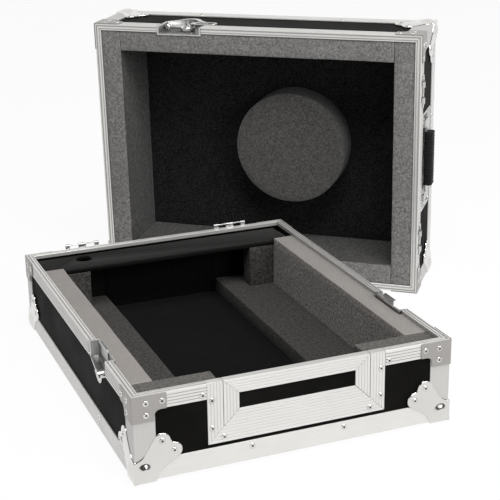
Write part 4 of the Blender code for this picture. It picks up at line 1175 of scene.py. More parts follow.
class CASE_OT_hatch(bpy.types.Operator):
    """Make the ridged frame round the front hatch and the hatch's own mitred rails"""

    bl_idname = "case.hatch"
    bl_label = "Front hatch rails"

    def execute(self, context):
        sizes = context.scene.case_trim
        place, height = HALVES["base"]
        front = wall_place("front", height)
        # A rail that stands up has its length along Y and its section across X
        upright = front @ Matrix(((0, 1, 0, 0), (1, 0, 0, 0), (0, 0, 1, 0), (0, 0, 0, 1)))
        # The second look is a darker trim on the groove faces: painted shade in the grooves
        looks = ("trim aluminium", "fine grooves")
        frame = self.frame(sizes, front, upright)
        show_piece("hatch_frame_rails", frame, looks, place, "base",
                   ("hatch_frame",), 30)
        rails = self.rails(sizes, front, upright)
        show_piece("hatch_rails", rails, looks, place, "hatch", ("hatch_trim",), 30)
        return {"FINISHED"}

    def frame(self, sizes, front, upright):
        """The fixed posts with their channels, and the sill between them."""
        seam = sizes.seam / 2
        half = HATCH_HALF + GAP
        web, tongue, foot_set = 0.0014, 0.008, SILL_FLOOR + 0.0005
        bm = bmesh.new()
        for side in (-1, 1):
            low, high = ordered(side, half, POST_OUT)
            profile = flat_rail(low, high, 4, sizes)
            # The mitre at the foot runs out and down from the hatch's corner
            add_rail(bm, profile,
                     lambda across, out: SILL_FLOOR - (abs(across) - HATCH_HALF) + seam,
                     -0.0002, upright, groove_sides(profile))
            near, far = ordered(side, half, half + web)
            box_into(bm, (near, foot_set, -RIM_DEPTH), (far, -TRIM, -web), front, along=1)
            box_into(bm, (low, -TRIM, -RIM_DEPTH), (high, 0, -0.0008), front, 0.0003)
            near, far = ordered(side, HATCH_HALF - tongue, half + tongue)
            box_into(bm, (near, foot_set, -RIM_DEPTH), (far, -RIM_INNER - GAP, -INNER), front,
                     along=1)
        sill = flat_rail(SILL_LOW, SILL_TOP, 9, sizes)
        add_rail(bm, sill, lambda across, out: -HATCH_HALF + (across - SILL_FLOOR) + seam,
                 lambda across, out: HATCH_HALF - (across - SILL_FLOOR) - seam, front,
                 groove_sides(sill))
        return finished(bm)

    def rails(self, sizes, front, upright):
        """The hatch's own top and side rails, and the channel that caps it."""
        seam = sizes.seam / 2
        edge = HATCH_HALF - GAP
        top = flat_rail(-HATCH_TOP_RAIL, 0, 4, sizes)
        slope = (edge - HATCH_INFILL) / HATCH_TOP_RAIL
        bm = bmesh.new()
        add_rail(bm, top, lambda across, out: -edge - across * slope + seam,
                 lambda across, out: edge + across * slope - seam, front, groove_sides(top))
        for side in (-1, 1):
            profile = flat_rail(*ordered(side, HATCH_INFILL, edge), 4, sizes)
            add_rail(bm, profile,
                     lambda across, out: SILL_FLOOR + (HATCH_HALF - abs(across)) + GAP + seam,
                     lambda across, out: (abs(across) - edge) / slope - seam, upright,
                     groove_sides(profile))
        box_into(bm, (-edge, -TRIM, -RIM_DEPTH), (edge, 0, -0.0014), front, 0.0003)
        box_into(bm, (-edge, -RIM_INNER, -RIM_DEPTH), (edge, -0.0008, -INNER), front, 0.0003)
        return finished(bm)


class CASE_OT_panels(bpy.types.Operator):
    """Give every plywood panel its black laminate"""

    bl_idname = "case.panels"
    bl_label = "Laminate panels"

    def execute(self, context):
        look = finish("black laminate")
        for name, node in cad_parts.items():
            if name.endswith("_panel"):
                for slot in node.material_slots:
                    slot.material = look
        return {"FINISHED"}


# Latches, hinges and handle

# Hardware looks: plated steel, the rivets' dark middles with painted shade of their holes, and
# painted shade for the deep faces of a dish
HARDWARE = ("plated hardware", "mandrel steel", "recess steel")
# From a dish's lip to its floor, as (inset, out): flange, rolled lip, drafted wall, floor
LIP = ((-0.0035, -0.0016), (-0.0035, -0.0010), (-0.0032, -0.0008), (-0.0010, -0.0008),
       (-0.0004, -0.0010), (0.0, -0.0016), (0.0005, -DISH_DEPTH + 0.0022),
       (0.0010, -DISH_DEPTH + 0.0009), (0.0022, -DISH_DEPTH + 0.0002), (0.0034, -DISH_DEPTH))


def shield_line(inset, straight, nose, reach, top=-0.0002):
    """Open outline of a latch dish, from the rim round its nose and back."""
    half = DISH_HALF - inset
    if inset < 0:
        inset *= 1.8
    side = [(half, top), (half, (top - straight) / 2), (half, -straight)]
    return mirrored(side, arc((0, -reach + nose), max(nose - inset, 0.0015), -15, -165, 8))


def pressed(loops, closed=True):
    """A sheet pressed into a recess, from the loop at its lip to its floor, facing out."""
    bm = bmesh.new()
    loft(bm, loops, closed, (False, True))
    bmesh.ops.recalc_face_normals(bm, faces=bm.faces[:])
    floor = max(bm.faces, key=lambda face: face.calc_area())
    if floor.normal.z < 0:
        bmesh.ops.reverse_faces(bm, faces=bm.faces[:])
    return closed_up(bm)


def pressed_dish(straight, nose, reach):
    """A pressed dish: a flat flange, a rolled lip, drafted walls and a floor with soft corners."""
    loops = [[(x, y, out) for x, y in shield_line(inset, straight, nose, reach)]
             for inset, out in LIP]
    sheet = pressed(loops, closed=False)
    bm = opened(modified(sheet, "SOLIDIFY", thickness=0.0009, offset=-1))
    # Faces deep in the dish take the darker steel: painted shade in the recess
    for face in bm.faces:
        if face.calc_center_median().z < -0.0022:
            face.material_index = HARDWARE.index("recess steel")
    # The fold along the rim's edge, which covers the cut ends of the extrusion
    out, side, top = 0.0368, DISH_HALF + 0.0004, -0.0014
    low, back = -DISH_DEPTH - 0.0022, -DISH_DEPTH - 0.0002
    fold = mirrored([(side, back), (side, top), (out, top), (out, low)])
    flat = Matrix(((1, 0, 0, 0), (0, 0, 1, 0), (0, 1, 0, 0), (0, 0, 0, 1)))
    copy_into(bm, plate([fold], -0.0010, -0.0001, 0.0002), flat)
    return bm


def rounded_bar(bm, line, radius, sides):
    """A round bar or wire along a line of points, with closed ends."""
    points = [Vector(point) for point in line]
    loops = []
    side = None
    for index, point in enumerate(points):
        ahead = points[min(index + 1, len(points) - 1)] - points[max(index - 1, 0)]
        ahead.normalize()
        if side is None:
            side = ahead.orthogonal().normalized()
        side = (side - ahead * side.dot(ahead)).normalized()
        other = ahead.cross(side)
        loop = []
        for step in range(sides):
            across, up, _ = ring_point(radius, 2 * math.pi * step / sides, 0)
            loop.append(point + side * across + other * up)
        loops.append(loop)
    loft(bm, loops, True, (True, True))


def coil(bm, centre, turns, radius, wire, pitch):
    """A small coil spring that runs from a point in the -X direction."""
    line = []
    steps = 12
    for step in range(int(turns * steps) + 1):
        across, up, _ = ring_point(radius, 2 * math.pi * step / steps, 0)
        line.append(Vector(centre) + Vector((-pitch * step / steps, across, up)))
    rounded_bar(bm, line, wire, 6)


class CASE_OT_latches(bpy.types.Operator):
    """Make the recessed latches: keepers in the base, dishes with rotors and wings in the lid"""

    bl_idname = "case.latches"
    bl_label = "Latches"

    def execute(self, context):
        small = rivet(0.0013, 0.0005, 10)
        keeper = self.keeper(small)
        steel = HARDWARE[0]
        for name, (_, _, is_turned) in LATCHES.items():
            offset = PIVOT_OFFSET if is_turned else -PIVOT_OFFSET
            base, lid = [place @ latch_place(name, height) for place, height in HALVES.values()]
            pivot = lid @ moved(offset, -PIVOT_DROP)
            pivot = pivot @ Matrix.Rotation(math.pi if is_turned else 0, 4, "Z")
            hinge = pivot @ moved(-WING_PIN_BACK, 0, WING_PIN_OUT)
            for node, words, mesh, looks, place, body in (
                ("latch_keeper", "pressing", keeper.copy(), HARDWARE, base, "base"),
                ("latch_dish", "pressing", self.dish(small, offset), HARDWARE, lid, "lid"),
                ("latch_rotor", "assembly", self.rotor(), steel, pivot, f"rotor_{name}"),
                ("latch_wing", "pressing", self.wing(), steel, hinge, f"wing_{name}"),
            ):
                show_piece(f"{node}_{name}_{words}", mesh, looks, place, body,
                           (f"{node}_{name}",))
        return {"FINISHED"}

    def keeper(self, small):
        bm = pressed_dish(0.020, 0.010, KEEPER_REACH)
        back = -DISH_DEPTH + 0.0004
        # The lip: a foot on the floor, an upright that runs past the rim, and a curled end
        section = [(-0.012, -0.0012), (-0.006, -0.0012), (-0.006, 0), (0.0046, 0),
                   (0.0058, 0.0004), (0.0062, 0.0016), (0.0062, 0.0042), (0.0052, 0.0042),
                   (0.0050, 0.0022), (0.0042, 0.0012), (-0.0115, 0.0011)]
        add_rail(bm, [(up, back + out) for up, out in section], -0.014, 0.014)
        seats = mirrored([(-0.0351, -0.0165), (-0.0142, -0.0325)])
        spread(bm, small, [moved(x, y, -0.0008) for x, y in seats])
        spread(bm, small, [moved(x, -0.009, back + 0.0011) for x in (-0.008, 0.008)])
        return finished(bm)

    def dish(self, small, offset):
        bm = pressed_dish(0.042, 0.012, DISH_REACH)
        stud = turned([(0.0029, -DISH_DEPTH), (0.0029, -0.0060), (0.0026, -0.0057),
                       (0.0012, -0.0056), (0, -0.0056)], 20)
        spread(bm, stud, [moved(offset, -PIVOT_DROP)])
        # The rivets sit low, clear of the wing when the latch turns
        seats = mirrored([(-0.0351, -0.010), (-0.0320, -0.0468)], [(0.0, -0.0697)])
        spread(bm, small, [moved(x, y, -0.0012) for x, y in seats])
        return finished(bm)

    def rotor(self):
        """The turning hook: a dished disc, an arm with a roller, and lugs with a pin."""
        low, top = -DISH_DEPTH + 0.0004, -0.0052
        disc = [(0.0033, low), (0.0112, low), (0.0119, low + 0.0007), (0.0119, top - 0.0012),
                (0.0113, top - 0.0004), (0.0104, top - 0.0002), (0.0096, top - 0.0008),
                (0.0066, top - 0.0008), (0.0060, top), (0.0038, top), (0.0033, top - 0.0004),
                (0.0033, low)]
        bm = opened(turned(disc, 36))
        arm = flipped([(0.0040, 0.0053)] + arc((0.0285, 0.0033), 0.002, 90, 0, 2))
        copy_into(bm, plate([arm], -0.0075, -0.0042, 0.0005))
        roller = flipped([(0, -0.0070), (0.0030, -0.0070), (0.0041, -0.0060), (0.0041, -0.0026),
                          (0.0036, -0.0021)])
        spread(bm, turned(roller, 20), [moved(0.0323, 0, -0.0055) @ ALONG_Y])
        for side in (-1, 1):
            near, far = ordered(side, 0.0059, 0.0081)
            box_into(bm, (-0.0085, near, top - 0.0008), (-0.0035, far, -0.0008), edge=0.0007)
        rod = flipped([(0, -0.0086), (0.0011, -0.0086), (0.0014, -0.0083), (0.0014, -0.0081),
                       (0.00085, -0.0080)])
        spread(bm, turned(rod, 14), [moved(-WING_PIN_BACK, 0, WING_PIN_OUT) @ ALONG_Y])
        return finished(bm)

    def wing(self):
        """The folding wing: a rolled knuckle, and a slotted plate with a raised border."""
        start = (0.00125, -0.0055)
        knuckle = flipped([start, (0.0021, -0.0055), (0.0022, -0.0053)]) + [start]
        bm = bmesh.new()
        spread(bm, turned(knuckle, 18), [ALONG_Y])
        half, tip, slot_half, root = 0.009, (-0.035, 0), 0.0045, -0.0105
        side = [(-0.0012, 0.0055), (-0.0055, 0.0055), (-0.0072, 0.0070), (-0.0092, half)]
        slot = arc(tip, slot_half, 90, 270, 8) + arc((-0.0130, 0), slot_half, -70, 70, 5)
        outline = flipped(side, arc(tip, half, 90, 270, 12))
        copy_into(bm, plate([outline, slot], 0.0021, 0.0033, 0.0003))
        outer, inner = half - 0.0012, half - 0.0030
        band = flipped([(root, outer)], arc(tip, outer, 90, 270, 12))
        band += flipped([(root, -inner)], arc(tip, inner, 270, 90, 12))
        copy_into(bm, plate([band], 0.0030, 0.0038, 0.0003))
        return finished(bm)


class CASE_OT_hinges(bpy.types.Operator):
    """Make the lift-off hinges: knuckles with a pin on the base, hooked leaves on the lid"""

    bl_idname = "case.hinges"
    bl_label = "Lift-off hinges"

    def execute(self, context):
        for prefix, piece, maker in (("base", "hinge_pin", self.pin_half),
                                     ("lid", "hinge_hook", self.hook_half)):
            place, height = HALVES[prefix]
            for side, along in (("left", HINGE_ALONG), ("right", -HINGE_ALONG)):
                show_piece(f"{piece}_{side}_pressing", maker(), HARDWARE[:2],
                           place @ wall_place("back", height) @ moved(along, 0), prefix,
                           (f"{piece}_{side}",))
        return {"FINISHED"}

    def leaf(self, upper, rivet_drop):
        """A leaf with three rivets, below the upper part of its outline's right half."""
        right = [(0.0245, -0.0185), (HINGE_HALF, -0.0170)] + upper
        bm = plate([mirrored(right)], GAP, HINGE_PLATE, 0.0002)
        spread(bm, rivet(0.0029, 0.0010),
               [moved(x, rivet_drop, HINGE_PLATE) for x in (-0.019, 0, 0.019)])
        return bm

    def pin_half(self):
        top, notch, inner, outer = 0.0045, -0.0006, 0.006, 0.019
        bm = self.leaf([(HINGE_HALF, top), (outer, top), (outer, notch), (inner, notch),
                        (inner, top)], -0.0115)
        lay = moved(0, top, 0.0026) @ ALONG_X
        edge = 0.0003
        for low, high in ((-HINGE_HALF, -outer), (-inner, inner), (outer, HINGE_HALF)):
            knuckle = [(0.0011, low), (0.0019, low), (0.0022, low + edge)]
            knuckle += [(0.0022, high - edge), (0.0019, high), (0.0011, high), (0.0011, low)]
            spread(bm, turned(knuckle, 18), [lay])
        pin = flipped([(0, -0.0264), (0.0007, -0.0263), (0.0010, -0.0259)])
        spread(bm, turned(pin, 14), [lay])
        return finished(bm)

    def hook_half(self):
        bm = self.leaf([(HINGE_HALF, -0.0100), (0.0248, -0.0088)], -0.0140)
        section = [(-0.0105, 0.0013), (-0.0094, 0.0036), (-0.0084, 0.0046), (-0.0072, 0.0049),
                   (-0.0030, 0.0049), (-0.0021, 0.0045), (-0.0018, 0.0038), (-0.0018, 0.0014),
                   (-0.0028, 0.0014), (-0.0028, 0.0034), (-0.0033, 0.0039), (-0.0068, 0.0039),
                   (-0.0076, 0.0035), (-0.0082, 0.0026), (-0.0090, GAP), (-0.0105, GAP)]
        for side in (-1, 1):
            add_rail(bm, section, *ordered(side, 0.0078, 0.0172))
        return finished(bm)


class CASE_OT_handle(bpy.types.Operator):
    """Make the recessed spring handle in the lid's back"""

    bl_idname = "case.handle"
    bl_label = "Spring handle"

    def execute(self, context):
        place, height = HALVES["lid"]
        frame = place @ wall_place("back", height) @ moved(0, (HANDLE_NEAR + HANDLE_FAR) / 2)
        axis = frame @ moved(0, BAIL_AXIS_Y, BAIL_AXIS_OUT)
        show_piece("handle_pan", self.pan(), HARDWARE[:2], frame, "lid",
                   ("handle_dish",))
        show_piece("handle_straps", self.straps(), HARDWARE[0], axis, "handle",
                   ("handle_bail",))
        show_piece("handle_grip_moulding", self.grip(), "grip rubber", axis, "handle",
                   ("handle_grip",), 40)
        return {"FINISHED"}

    def pan(self):
        """The pressed pan, with the two lugs that hold the bail's pins and springs."""
        loops = []
        for inset, out in LIP:
            # Measured from the flange's edge, and the flange is wider than a dish's
            inset += 0.0035 if inset < -0.003 else 0.0040
            corner = max(0.008 - inset * 0.4, 0.003)
            outline = rounded_rectangle(PAN_HALF_X - inset, PAN_HALF_Y - inset, corner, 5)
            loops.append([(x, y, out) for x, y in outline])
        half = bmesh.new()
        box_into(half, (0.067, BAIL_AXIS_Y - 0.005, -DISH_DEPTH),
                 (0.071, BAIL_AXIS_Y + 0.005, -0.0015), edge=0.0009)
        cap = [(0.0029, 0.0020), (0.0034, 0.0021), (0.0032, 0.0028), (0.0018, 0.0033),
               (0, 0.0034)]
        spread(half, turned(cap, 18), [moved(0.0690, BAIL_AXIS_Y, BAIL_AXIS_OUT) @ ALONG_X])
        coil(half, (0.0655, BAIL_AXIS_Y, BAIL_AXIS_OUT), 4.0, 0.0046, 0.00055, 0.00125)
        bm = opened(pressed(loops))
        spread(bm, finished(half), (HERE, MIRROR))
        seats = ((-0.0782, 0), (0.0782, 0), (-0.045, 0.0337), (0.045, 0.0337),
                 (-0.045, -0.0337), (0.045, -0.0337))
        spread(bm, rivet(0.0014, 0.0006, 10), [moved(x, y, -0.0008) for x, y in seats])
        return finished(bm)

    def straps(self):
        """The bail's two pressed straps, with their eyes and the pads behind them."""
        low, top = 0.0031, 0.0069
        root = STRAP_OUT - 0.0115
        outline = [(STRAP_OUT, 0.0), (STRAP_OUT, -0.026), (STRAP_OUT - 0.0035, -0.0335),
                   (STRAP_IN, -0.0340), (STRAP_IN, -0.0180), (STRAP_OUT - 0.0125, -0.0160),
                   (root, 0.0)]
        strap = plate([outline], low, top, 0.0007)
        eye = [(0, -0.0060), (0.0028, -0.0060), (0.0032, -0.0056), (0.0032, 0.0056),
               (0.0028, 0.0060), (0.0025, 0.0061), (0.0025, 0.0092), (0, 0.0092)]
        spread(strap, turned(eye, 20), [moved(0.0605, 0) @ ALONG_X])
        box_into(strap, (root, -0.0022, 0.0), (STRAP_OUT, 0.0022, low + 0.001), edge=0.0004)
        bm = bmesh.new()
        spread(bm, finished(strap), (HERE, MIRROR))
        return finished(bm)

    def grip(self):
        """The moulded grip: a rounded bar with end flanges and shallow finger ribs."""
        count, ribs = 15, []
        for index in range(count):
            middle = -0.035 + 0.070 * index / (count - 1)
            ribs += [(middle - 0.0017, 0.94), (middle - 0.0010, 0.985),
                     (middle + 0.0010, 0.985), (middle + 0.0017, 0.94)]
        flange = [(-0.043, 0.90), (-0.0424, 0.98), (-0.0405, 1.0), (-0.0393, 0.955)]
        loops = []
        for along, share in mirrored(flange, ribs):
            outline = rounded_rectangle(0.013 * share, 0.007 * share, 0.0052 * share, 5)
            loops.append([(along, across - 0.025, up + 0.009) for across, up in outline])
        bm = bmesh.new()
        loft(bm, loops, True, (True, True))
        return finished(bm)


# Foam


def foam_plank(low, high, sizes, cutters=()):
    """A plank cut from foam sheet: soft edges, pockets cut out, faces that wander a little."""
    bm = block(low, high)
    edge = min(sizes.edge, min(Vector(high) - Vector(low)) * 0.2)
    bmesh.ops.bevel(bm, geom=bm.edges[:], offset=edge, segments=3, profile=0.5, affect="EDGES")
    mesh = finished(bm)
    if cutters:
        mesh = cut_away(mesh, cutters)
    return wandering(mesh, low, high, sizes.waviness)


def wandering(mesh, low, high, amount):
    """Cut a mesh into cells and let its faces wander by up to about that amount."""
    bm = opened(mesh)
    for axis in range(3):
        steps = max(1, round((high[axis] - low[axis]) / FOAM_CELL))
        for step in range(1, steps):
            point, normal = Vector((0, 0, 0)), Vector((0, 0, 0))
            point[axis] = low[axis] + (high[axis] - low[axis]) * step / steps
            normal[axis] = 1
            sliced(bm, point, normal)
    noise.seed_set(FOAM_SEED)
    for vert in bm.verts:
        slow = noise.noise_vector(vert.co * 16.0)
        quick = noise.noise_vector(vert.co * 90.0)
        vert.co += slow * amount + quick * amount * 0.3
    flat_grain(bm)
    return finished(bm)


def show_foam(name, mesh, looks, prefix, replaces=(), place=HERE):
    """Make a foam piece. With two looks, the second is for the sides, which are cut faces;
    its tone paints light on the side faces of the base's bars and shade on the lid's.
    """
    if not isinstance(looks, str):
        for face in mesh.polygons:
            # Faces that do not face the open rim take the second look: painted light on the base's
            # bars, painted shade in the lid
            face.material_index = int(face.normal.z < 0.6)
    piece = show_piece(name, mesh, looks, HALVES[prefix][0] @ place, prefix, replaces, 40)


def pocket(reach):
    """The pocket that a dish needs in the foam behind it, in a latch's frame."""
    half, clear = DISH_HALF + 0.0018, 0.0018
    return (-half, -reach - clear, -DISH_DEPTH - 0.0020), (half, RIM_OUTER, 0.001)


class CASE_OT_base_foam(bpy.types.Operator):
    """Cut and lay the foam of the base: side bars, front blocks, ledges and shelf blocks"""

    bl_idname = "case.base_foam"
    bl_label = "Base foam"

    def execute(self, context):
        sizes = context.scene.case_foam
        height = BASE_HEIGHT
        top = height - RIM_INNER - GAP
        bar_in = INNER_X - BAR_WIDTH
        block_back = -INNER_Y + BLOCK_DEPTH
        shelf_front = INNER_Y - SHELF_DEPTH
        seat = height - SHELF_DROP - SHELF_THICKNESS - GAP
        past = 0.001
        for side, name in ((-1, "left"), (1, "right")):
            low, high = ordered(side, bar_in, INNER_X)
            notch = ((low - past, shelf_front - GAP, seat),
                     (high + past, INNER_Y + past, top + past), HERE)
            recess = (*pocket(KEEPER_REACH), latch_place(name, height))
            bar = foam_plank((low, block_back + GAP, INNER), (high, INNER_Y, top), sizes,
                             (notch, recess))
            show_foam(f"side_bar_{name}", bar, ("bar foam", "cut foam"), "base",
                      (f"foam_bar_{name}",))

            low, high = ordered(side, HATCH_HALF - 0.009, HATCH_HALF + 0.0095)
            relief = ((low, -INNER_Y - past, INNER - past),
                      (high, -HALF_DEPTH + RIM_DEPTH + GAP, top + past), HERE)
            low, high = ordered(side, HATCH_HALF - GAP, INNER_X)
            front = foam_plank((low, -INNER_Y, INNER), (high, block_back, top), sizes, (relief,))
            show_foam(f"front_block_{name}", front, "block foam", "base",
                      (f"foam_front_{name}",))

            outer, ledge_top = bar_in - GAP, INNER + LEDGE_HEIGHT
            low, high = ordered(side, outer - LEDGE_WIDTH, outer)
            ledge = opened(foam_plank((low, block_back + GAP, INNER), (high, INNER_Y, ledge_top),
                                      sizes))
            low, high = ordered(side, outer - 0.040, outer)
            ledge.from_mesh(foam_plank((low, shelf_front, ledge_top - 0.0005),
                                       (high, shelf_front + 0.028, seat), sizes))
            show_foam(f"ledge_{name}", finished(ledge), "ledge foam", "base",
                      (f"foam_ledge_{name}",))
        return {"FINISHED"}


class CASE_OT_shelf(bpy.types.Operator):
    """Make the rear shelf: a thin board with a covered top and a round cable hole"""

    bl_idname = "case.shelf"
    bl_label = "Rear shelf"

    def execute(self, context):
        half_x, front = INNER_X - 0.008, INNER_Y - SHELF_DEPTH
        top = BASE_HEIGHT - SHELF_DROP
        cover = 0.0030
        outline = [(-half_x, front), (half_x, front), (half_x, INNER_Y), (-half_x, INNER_Y)]
        ring = arc(CABLE_HOLE, CABLE_HOLE_RADIUS, 0, 352.5, 47)
        board = plate([outline, ring], top - SHELF_THICKNESS, top - cover - 0.0001, 0.0004)
        show_piece("shelf_board", finished(board), "black laminate", HALVES["base"][0], "base",
                   ("rear_shelf",))
        outline = [(x * 0.9985, max(y, front + 0.0006)) for x, y in outline]
        ring = arc(CABLE_HOLE, CABLE_HOLE_RADIUS + 0.0004, 0, 352.5, 47)
        covering = plate([outline, ring], top - cover, top, 0.0006)
        piece = show_piece("shelf_covering", finished(covering), "shelf covering",
                           HALVES["base"][0], "base")
        return {"FINISHED"}


class CASE_OT_lid_foam(bpy.types.Operator):
    """Cut and lay the foam of the lid: four bars round the rim and the round pad"""

    bl_idname = "case.lid_foam"
    bl_label = "Lid foam"

    def execute(self, context):
        sizes = context.scene.case_foam
        height = LID_HEIGHT
        out_x, out_y = (half - RIM_DEPTH - GAP for half in (HALF_WIDTH, HALF_DEPTH))
        in_x, in_y = (half - LID_BAR_IN for half in (HALF_WIDTH, HALF_DEPTH))
        top = height - 0.0015
        pockets = {side: [] for side in WALLS}
        for name, (side, _, _) in LATCHES.items():
            pockets[side].append((*pocket(DISH_REACH), latch_place(name, height)))
        half_x, clear = PAN_HALF_X - 0.0024, 0.0016
        pockets["back"].append(((-half_x, HANDLE_FAR + clear, -DISH_DEPTH - clear),
                                (half_x, HANDLE_NEAR - clear, 0.001), wall_place("back", height)))
        bars = {
            "front": ((-out_x, -out_y, INNER), (out_x, -in_y, top)),
            "back": ((-out_x, in_y, INNER), (out_x, out_y, top)),
            "left": ((-out_x, -in_y + GAP, INNER), (-in_x, in_y - GAP, top)),
            "right": ((in_x, -in_y + GAP, INNER), (out_x, in_y - GAP, top)),
        }
        for side, (low, high) in bars.items():
            show_foam(f"lid_bar_{side}", foam_plank(low, high, sizes, pockets[side]),
                      ("lid foam", "lid foam sides"), "lid",
                      ("lid_foam_ring",) if side == "front" else ())
        show_foam("lid_round_pad", self.pad(sizes), "pad foam", "lid",
                  ("lid_foam_disc",), moved(0, HALF_DEPTH - PAD_FROM_BACK, INNER))
        return {"FINISHED"}

    def pad(self, sizes):
        """The round pad, with rings of points on its side and face so that they can wander."""
        radius, height, edge = PAD_RADIUS, PAD_THICKNESS, sizes.edge
        profile = [(0, 0), (radius, 0)]
        profile += [(radius, (height - edge) * step / 5) for step in range(1, 6)]
        profile += [(radius - edge * 0.3, height - edge * 0.3), (radius - edge, height)]
        profile += [((radius - edge) * (1 - step / 8), height) for step in range(1, 9)]
        pad = turned(profile, 96)
        noise.seed_set(FOAM_SEED)
        for vert in pad.vertices:
            vert.co += noise.noise_vector(vert.co * 22.0) * sizes.waviness
        return pad


class CASE_OT_linings(bpy.types.Operator):
    """Lay the black lining on the floors of both halves and up the base's back wall"""

    bl_idname = "case.linings"
    bl_label = "Linings"

    def execute(self, context):
        thick = context.scene.case_foam.lining
        low, high = WALL_IN + 0.0001, WALL_IN + thick
        block_back = -INNER_Y + BLOCK_DEPTH
        half = INNER_X - BAR_WIDTH - LEDGE_WIDTH - GAP * 2
        hatch = HATCH_HALF - GAP * 2
        in_x, in_y = (reach - LID_BAR_IN - GAP for reach in (HALF_WIDTH, HALF_DEPTH))
        sheets = {
            "base_floor_lining": ((-half, block_back, low),
                                  (half, INNER_Y - thick - 0.0002, high)),
            "front_floor_lining": ((-hatch, -INNER_Y + 0.002, low),
                                   (hatch, block_back - 0.0002, high)),
            "base_back_lining": ((-half, INNER_Y - thick, low),
                                 (half, INNER_Y - 0.0001, BASE_HEIGHT - 0.0165)),
            "lid_floor_lining": ((-in_x, -in_y, low), (in_x, in_y, high)),
        }
        # A lining is cut sharper than the foam, and lies flatter
        flat = SimpleNamespace(edge=0.0004, waviness=0.00015)
        for name, corners in sheets.items():
            prefix = "lid" if name.startswith("lid") else "base"
            # The lid's lining is a lighter copy of the same lining: painted light
            look = "lid lining" if prefix == "lid" else "black lining"
            show_foam(name, foam_plank(*corners, flat), look, prefix)
        return {"FINISHED"}


# Stage


def seen_directly(tree, *rays):
    """1 for what the camera, or one of the other rays named, meets."""
    path = tree.nodes.new("ShaderNodeLightPath")
    seen = path.outputs["Is Camera Ray"]
    for ray in rays:
        seen = worked_out(tree, "MAXIMUM", seen, path.outputs[f"Is {ray} Ray"])
    return seen


def floor_finish():
    """A white floor that shows as white where nothing shades it, and keeps soft shadows."""
    material, tree, _, place = new_finish("white floor")
    tree.nodes.remove(tree.nodes["Principled BSDF"])
    paper = make(tree, "ShaderNodeBsdfDiffuse", None,
                 Color=blended(tree, cloud(tree, place, 0.4), grey(0.93), grey(0.95)))
    light = make(tree, "ShaderNodeEmission", None, Color=grey(1.0), Strength=1.0)
    amount = worked_out(tree, "MULTIPLY", seen_directly(tree, "Glossy"), 0.94)
    mix = make(tree, "ShaderNodeMixShader", None, i0=amount, i1=paper, i2=light)
    fill(tree, tree.nodes["Material Output"], Surface=mix)
    return material


def card_finish():
    """Grey card round the lamps: polished metal shows it as a dark ring round each light."""
    material, tree, shader, place = new_finish("grey card")
    tone = blended(tree, cloud(tree, place, 0.3), grey(0.05), grey(0.07))
    fill(tree, shader, Base_Color=tone, Roughness=0.9)
    return material


def soft_light(name, place, width, height, power):
    lamp = bpy.data.lights.new(name, "AREA")
    lamp.shape = "RECTANGLE"
    lamp.size = width
    lamp.size_y = height
    lamp.energy = power
    item = linked(bpy.data.objects.new(name, lamp))
    item.location = place
    way = Vector(LAMP_TARGET) - Vector(place)
    item.rotation_euler = way.to_track_quat("-Z", "Y").to_euler()


def stage_sheet(name, bm, look, place):
    """A flat sheet of the stage, such as the floor."""
    sheet = linked(bpy.data.objects.new(name, finished(bm)))
    sheet.data.materials.append(look)
    sheet.location = place
    return sheet


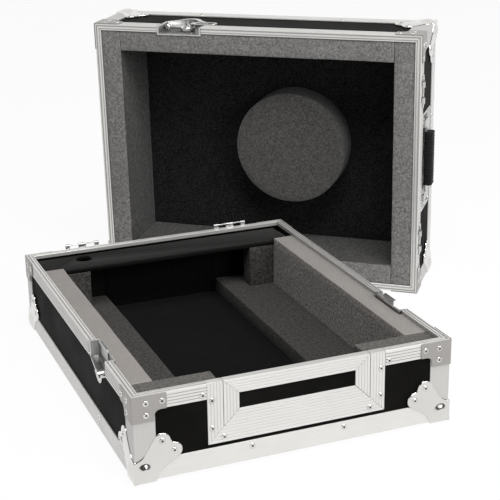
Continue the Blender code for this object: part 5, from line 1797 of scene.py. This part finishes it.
class CASE_OT_stage(bpy.types.Operator):
    """Set up the white floor, the soft lights and the camera"""

    bl_idname = "case.stage"
    bl_label = "Studio stage"

    def execute(self, context):
        scene = context.scene
        settings = scene.case_stage
        bm = bmesh.new()
        bmesh.ops.create_grid(bm, x_segments=4, y_segments=4, size=settings.floor_size)
        stage_sheet("studio_floor", bm, floor_finish(), (0, 0, CAD_BOX[0][2] - 0.0004))
        grey_card = card_finish()
        for name, spot, radius in CARDS:
            bm = bmesh.new()
            bmesh.ops.create_circle(bm, cap_ends=True, segments=48, radius=radius)
            card = stage_sheet(name, bm, grey_card, spot)
            card.rotation_euler = Vector(spot).to_track_quat("Z", "Y").to_euler()
            card.visible_camera = False
        for name, place, width, height, power in LAMPS:
            soft_light(name, place, width, height, getattr(settings, power))
        self.room(scene, settings.daylight)
        self.camera(scene, settings)
        scene.view_settings.view_transform = "Standard"
        return {"FINISHED"}

    def room(self, scene, daylight):
        """A white room: white where it is seen or mirrored, and a weak even light otherwise."""
        scene.world = bpy.data.worlds.new("studio")
        scene.world.use_nodes = True
        tree = scene.world.node_tree
        seen = seen_directly(tree, "Glossy", "Transmission")
        fill(tree, tree.nodes["Background"], Color=grey(1.0),
             Strength=ranged(tree, seen, 0.0, 1.0, daylight, 1.0))

    def camera(self, scene, settings):
        lens = bpy.data.cameras.new("camera")
        lens.lens = settings.lens
        lens.sensor_width = 36.0
        scene.camera = linked(bpy.data.objects.new("camera", lens))
        turn = Matrix.Rotation(settings.heading, 3, "Z") @ Matrix.Rotation(settings.tilt, 3, "X")
        turn = turn @ Matrix.Rotation(settings.roll, 3, "Y")
        axes = Matrix((turn.col[0], turn.col[2], -turn.col[1])).transposed()
        scene.camera.matrix_world = Matrix.Translation(settings.camera_place) @ axes.to_4x4()


OPERATORS = (
    CASE_OT_panels, CASE_OT_rims, CASE_OT_edges, CASE_OT_braces, CASE_OT_balls, CASE_OT_rivets,
    CASE_OT_hatch, CASE_OT_latches, CASE_OT_hinges, CASE_OT_handle, CASE_OT_base_foam,
    CASE_OT_shelf, CASE_OT_lid_foam, CASE_OT_linings, CASE_OT_stage,
)


class CASE_PT_sidebar(bpy.types.Panel):
    """The case's sizes, colours and steps"""

    bl_idname = "CASE_PT_sidebar"
    bl_label = "Flight case"
    bl_space_type = "VIEW_3D"
    bl_region_type = "UI"
    bl_category = "Flight Case"

    def draw(self, context):
        for name in GROUPS:
            group = getattr(context.scene, name)
            box = self.layout.box()
            for setting in group.__annotations__:
                box.prop(group, setting)
        for operator in OPERATORS:
            self.layout.operator(operator.bl_idname)


GROUPS = {
    "case_trim": TrimSizes,
    "case_foam": FoamSizes,
    "case_colours": FinishColours,
    "case_stage": StageSettings,
}


def register():
    for name, group in GROUPS.items():
        bpy.utils.register_class(group)
        setattr(bpy.types.Scene, name, PointerProperty(type=group))
    for item in OPERATORS + (CASE_PT_sidebar,):
        bpy.utils.register_class(item)


def unregister():
    for item in reversed(OPERATORS + (CASE_PT_sidebar,)):
        bpy.utils.unregister_class(item)
    for name, group in GROUPS.items():
        delattr(bpy.types.Scene, name)
        bpy.utils.unregister_class(group)


def main():
    register()
    bpy.ops.case.panels()
    bpy.ops.case.rims()
    bpy.ops.case.edges()
    bpy.ops.case.braces()
    bpy.ops.case.balls()
    bpy.ops.case.rivets()
    bpy.ops.case.hatch()
    bpy.ops.case.latches()
    bpy.ops.case.hinges()
    bpy.ops.case.handle()
    bpy.ops.case.base_foam()
    bpy.ops.case.shelf()
    bpy.ops.case.lid_foam()
    bpy.ops.case.linings()
    bpy.ops.case.stage()


if __name__ == "__main__":
    main()
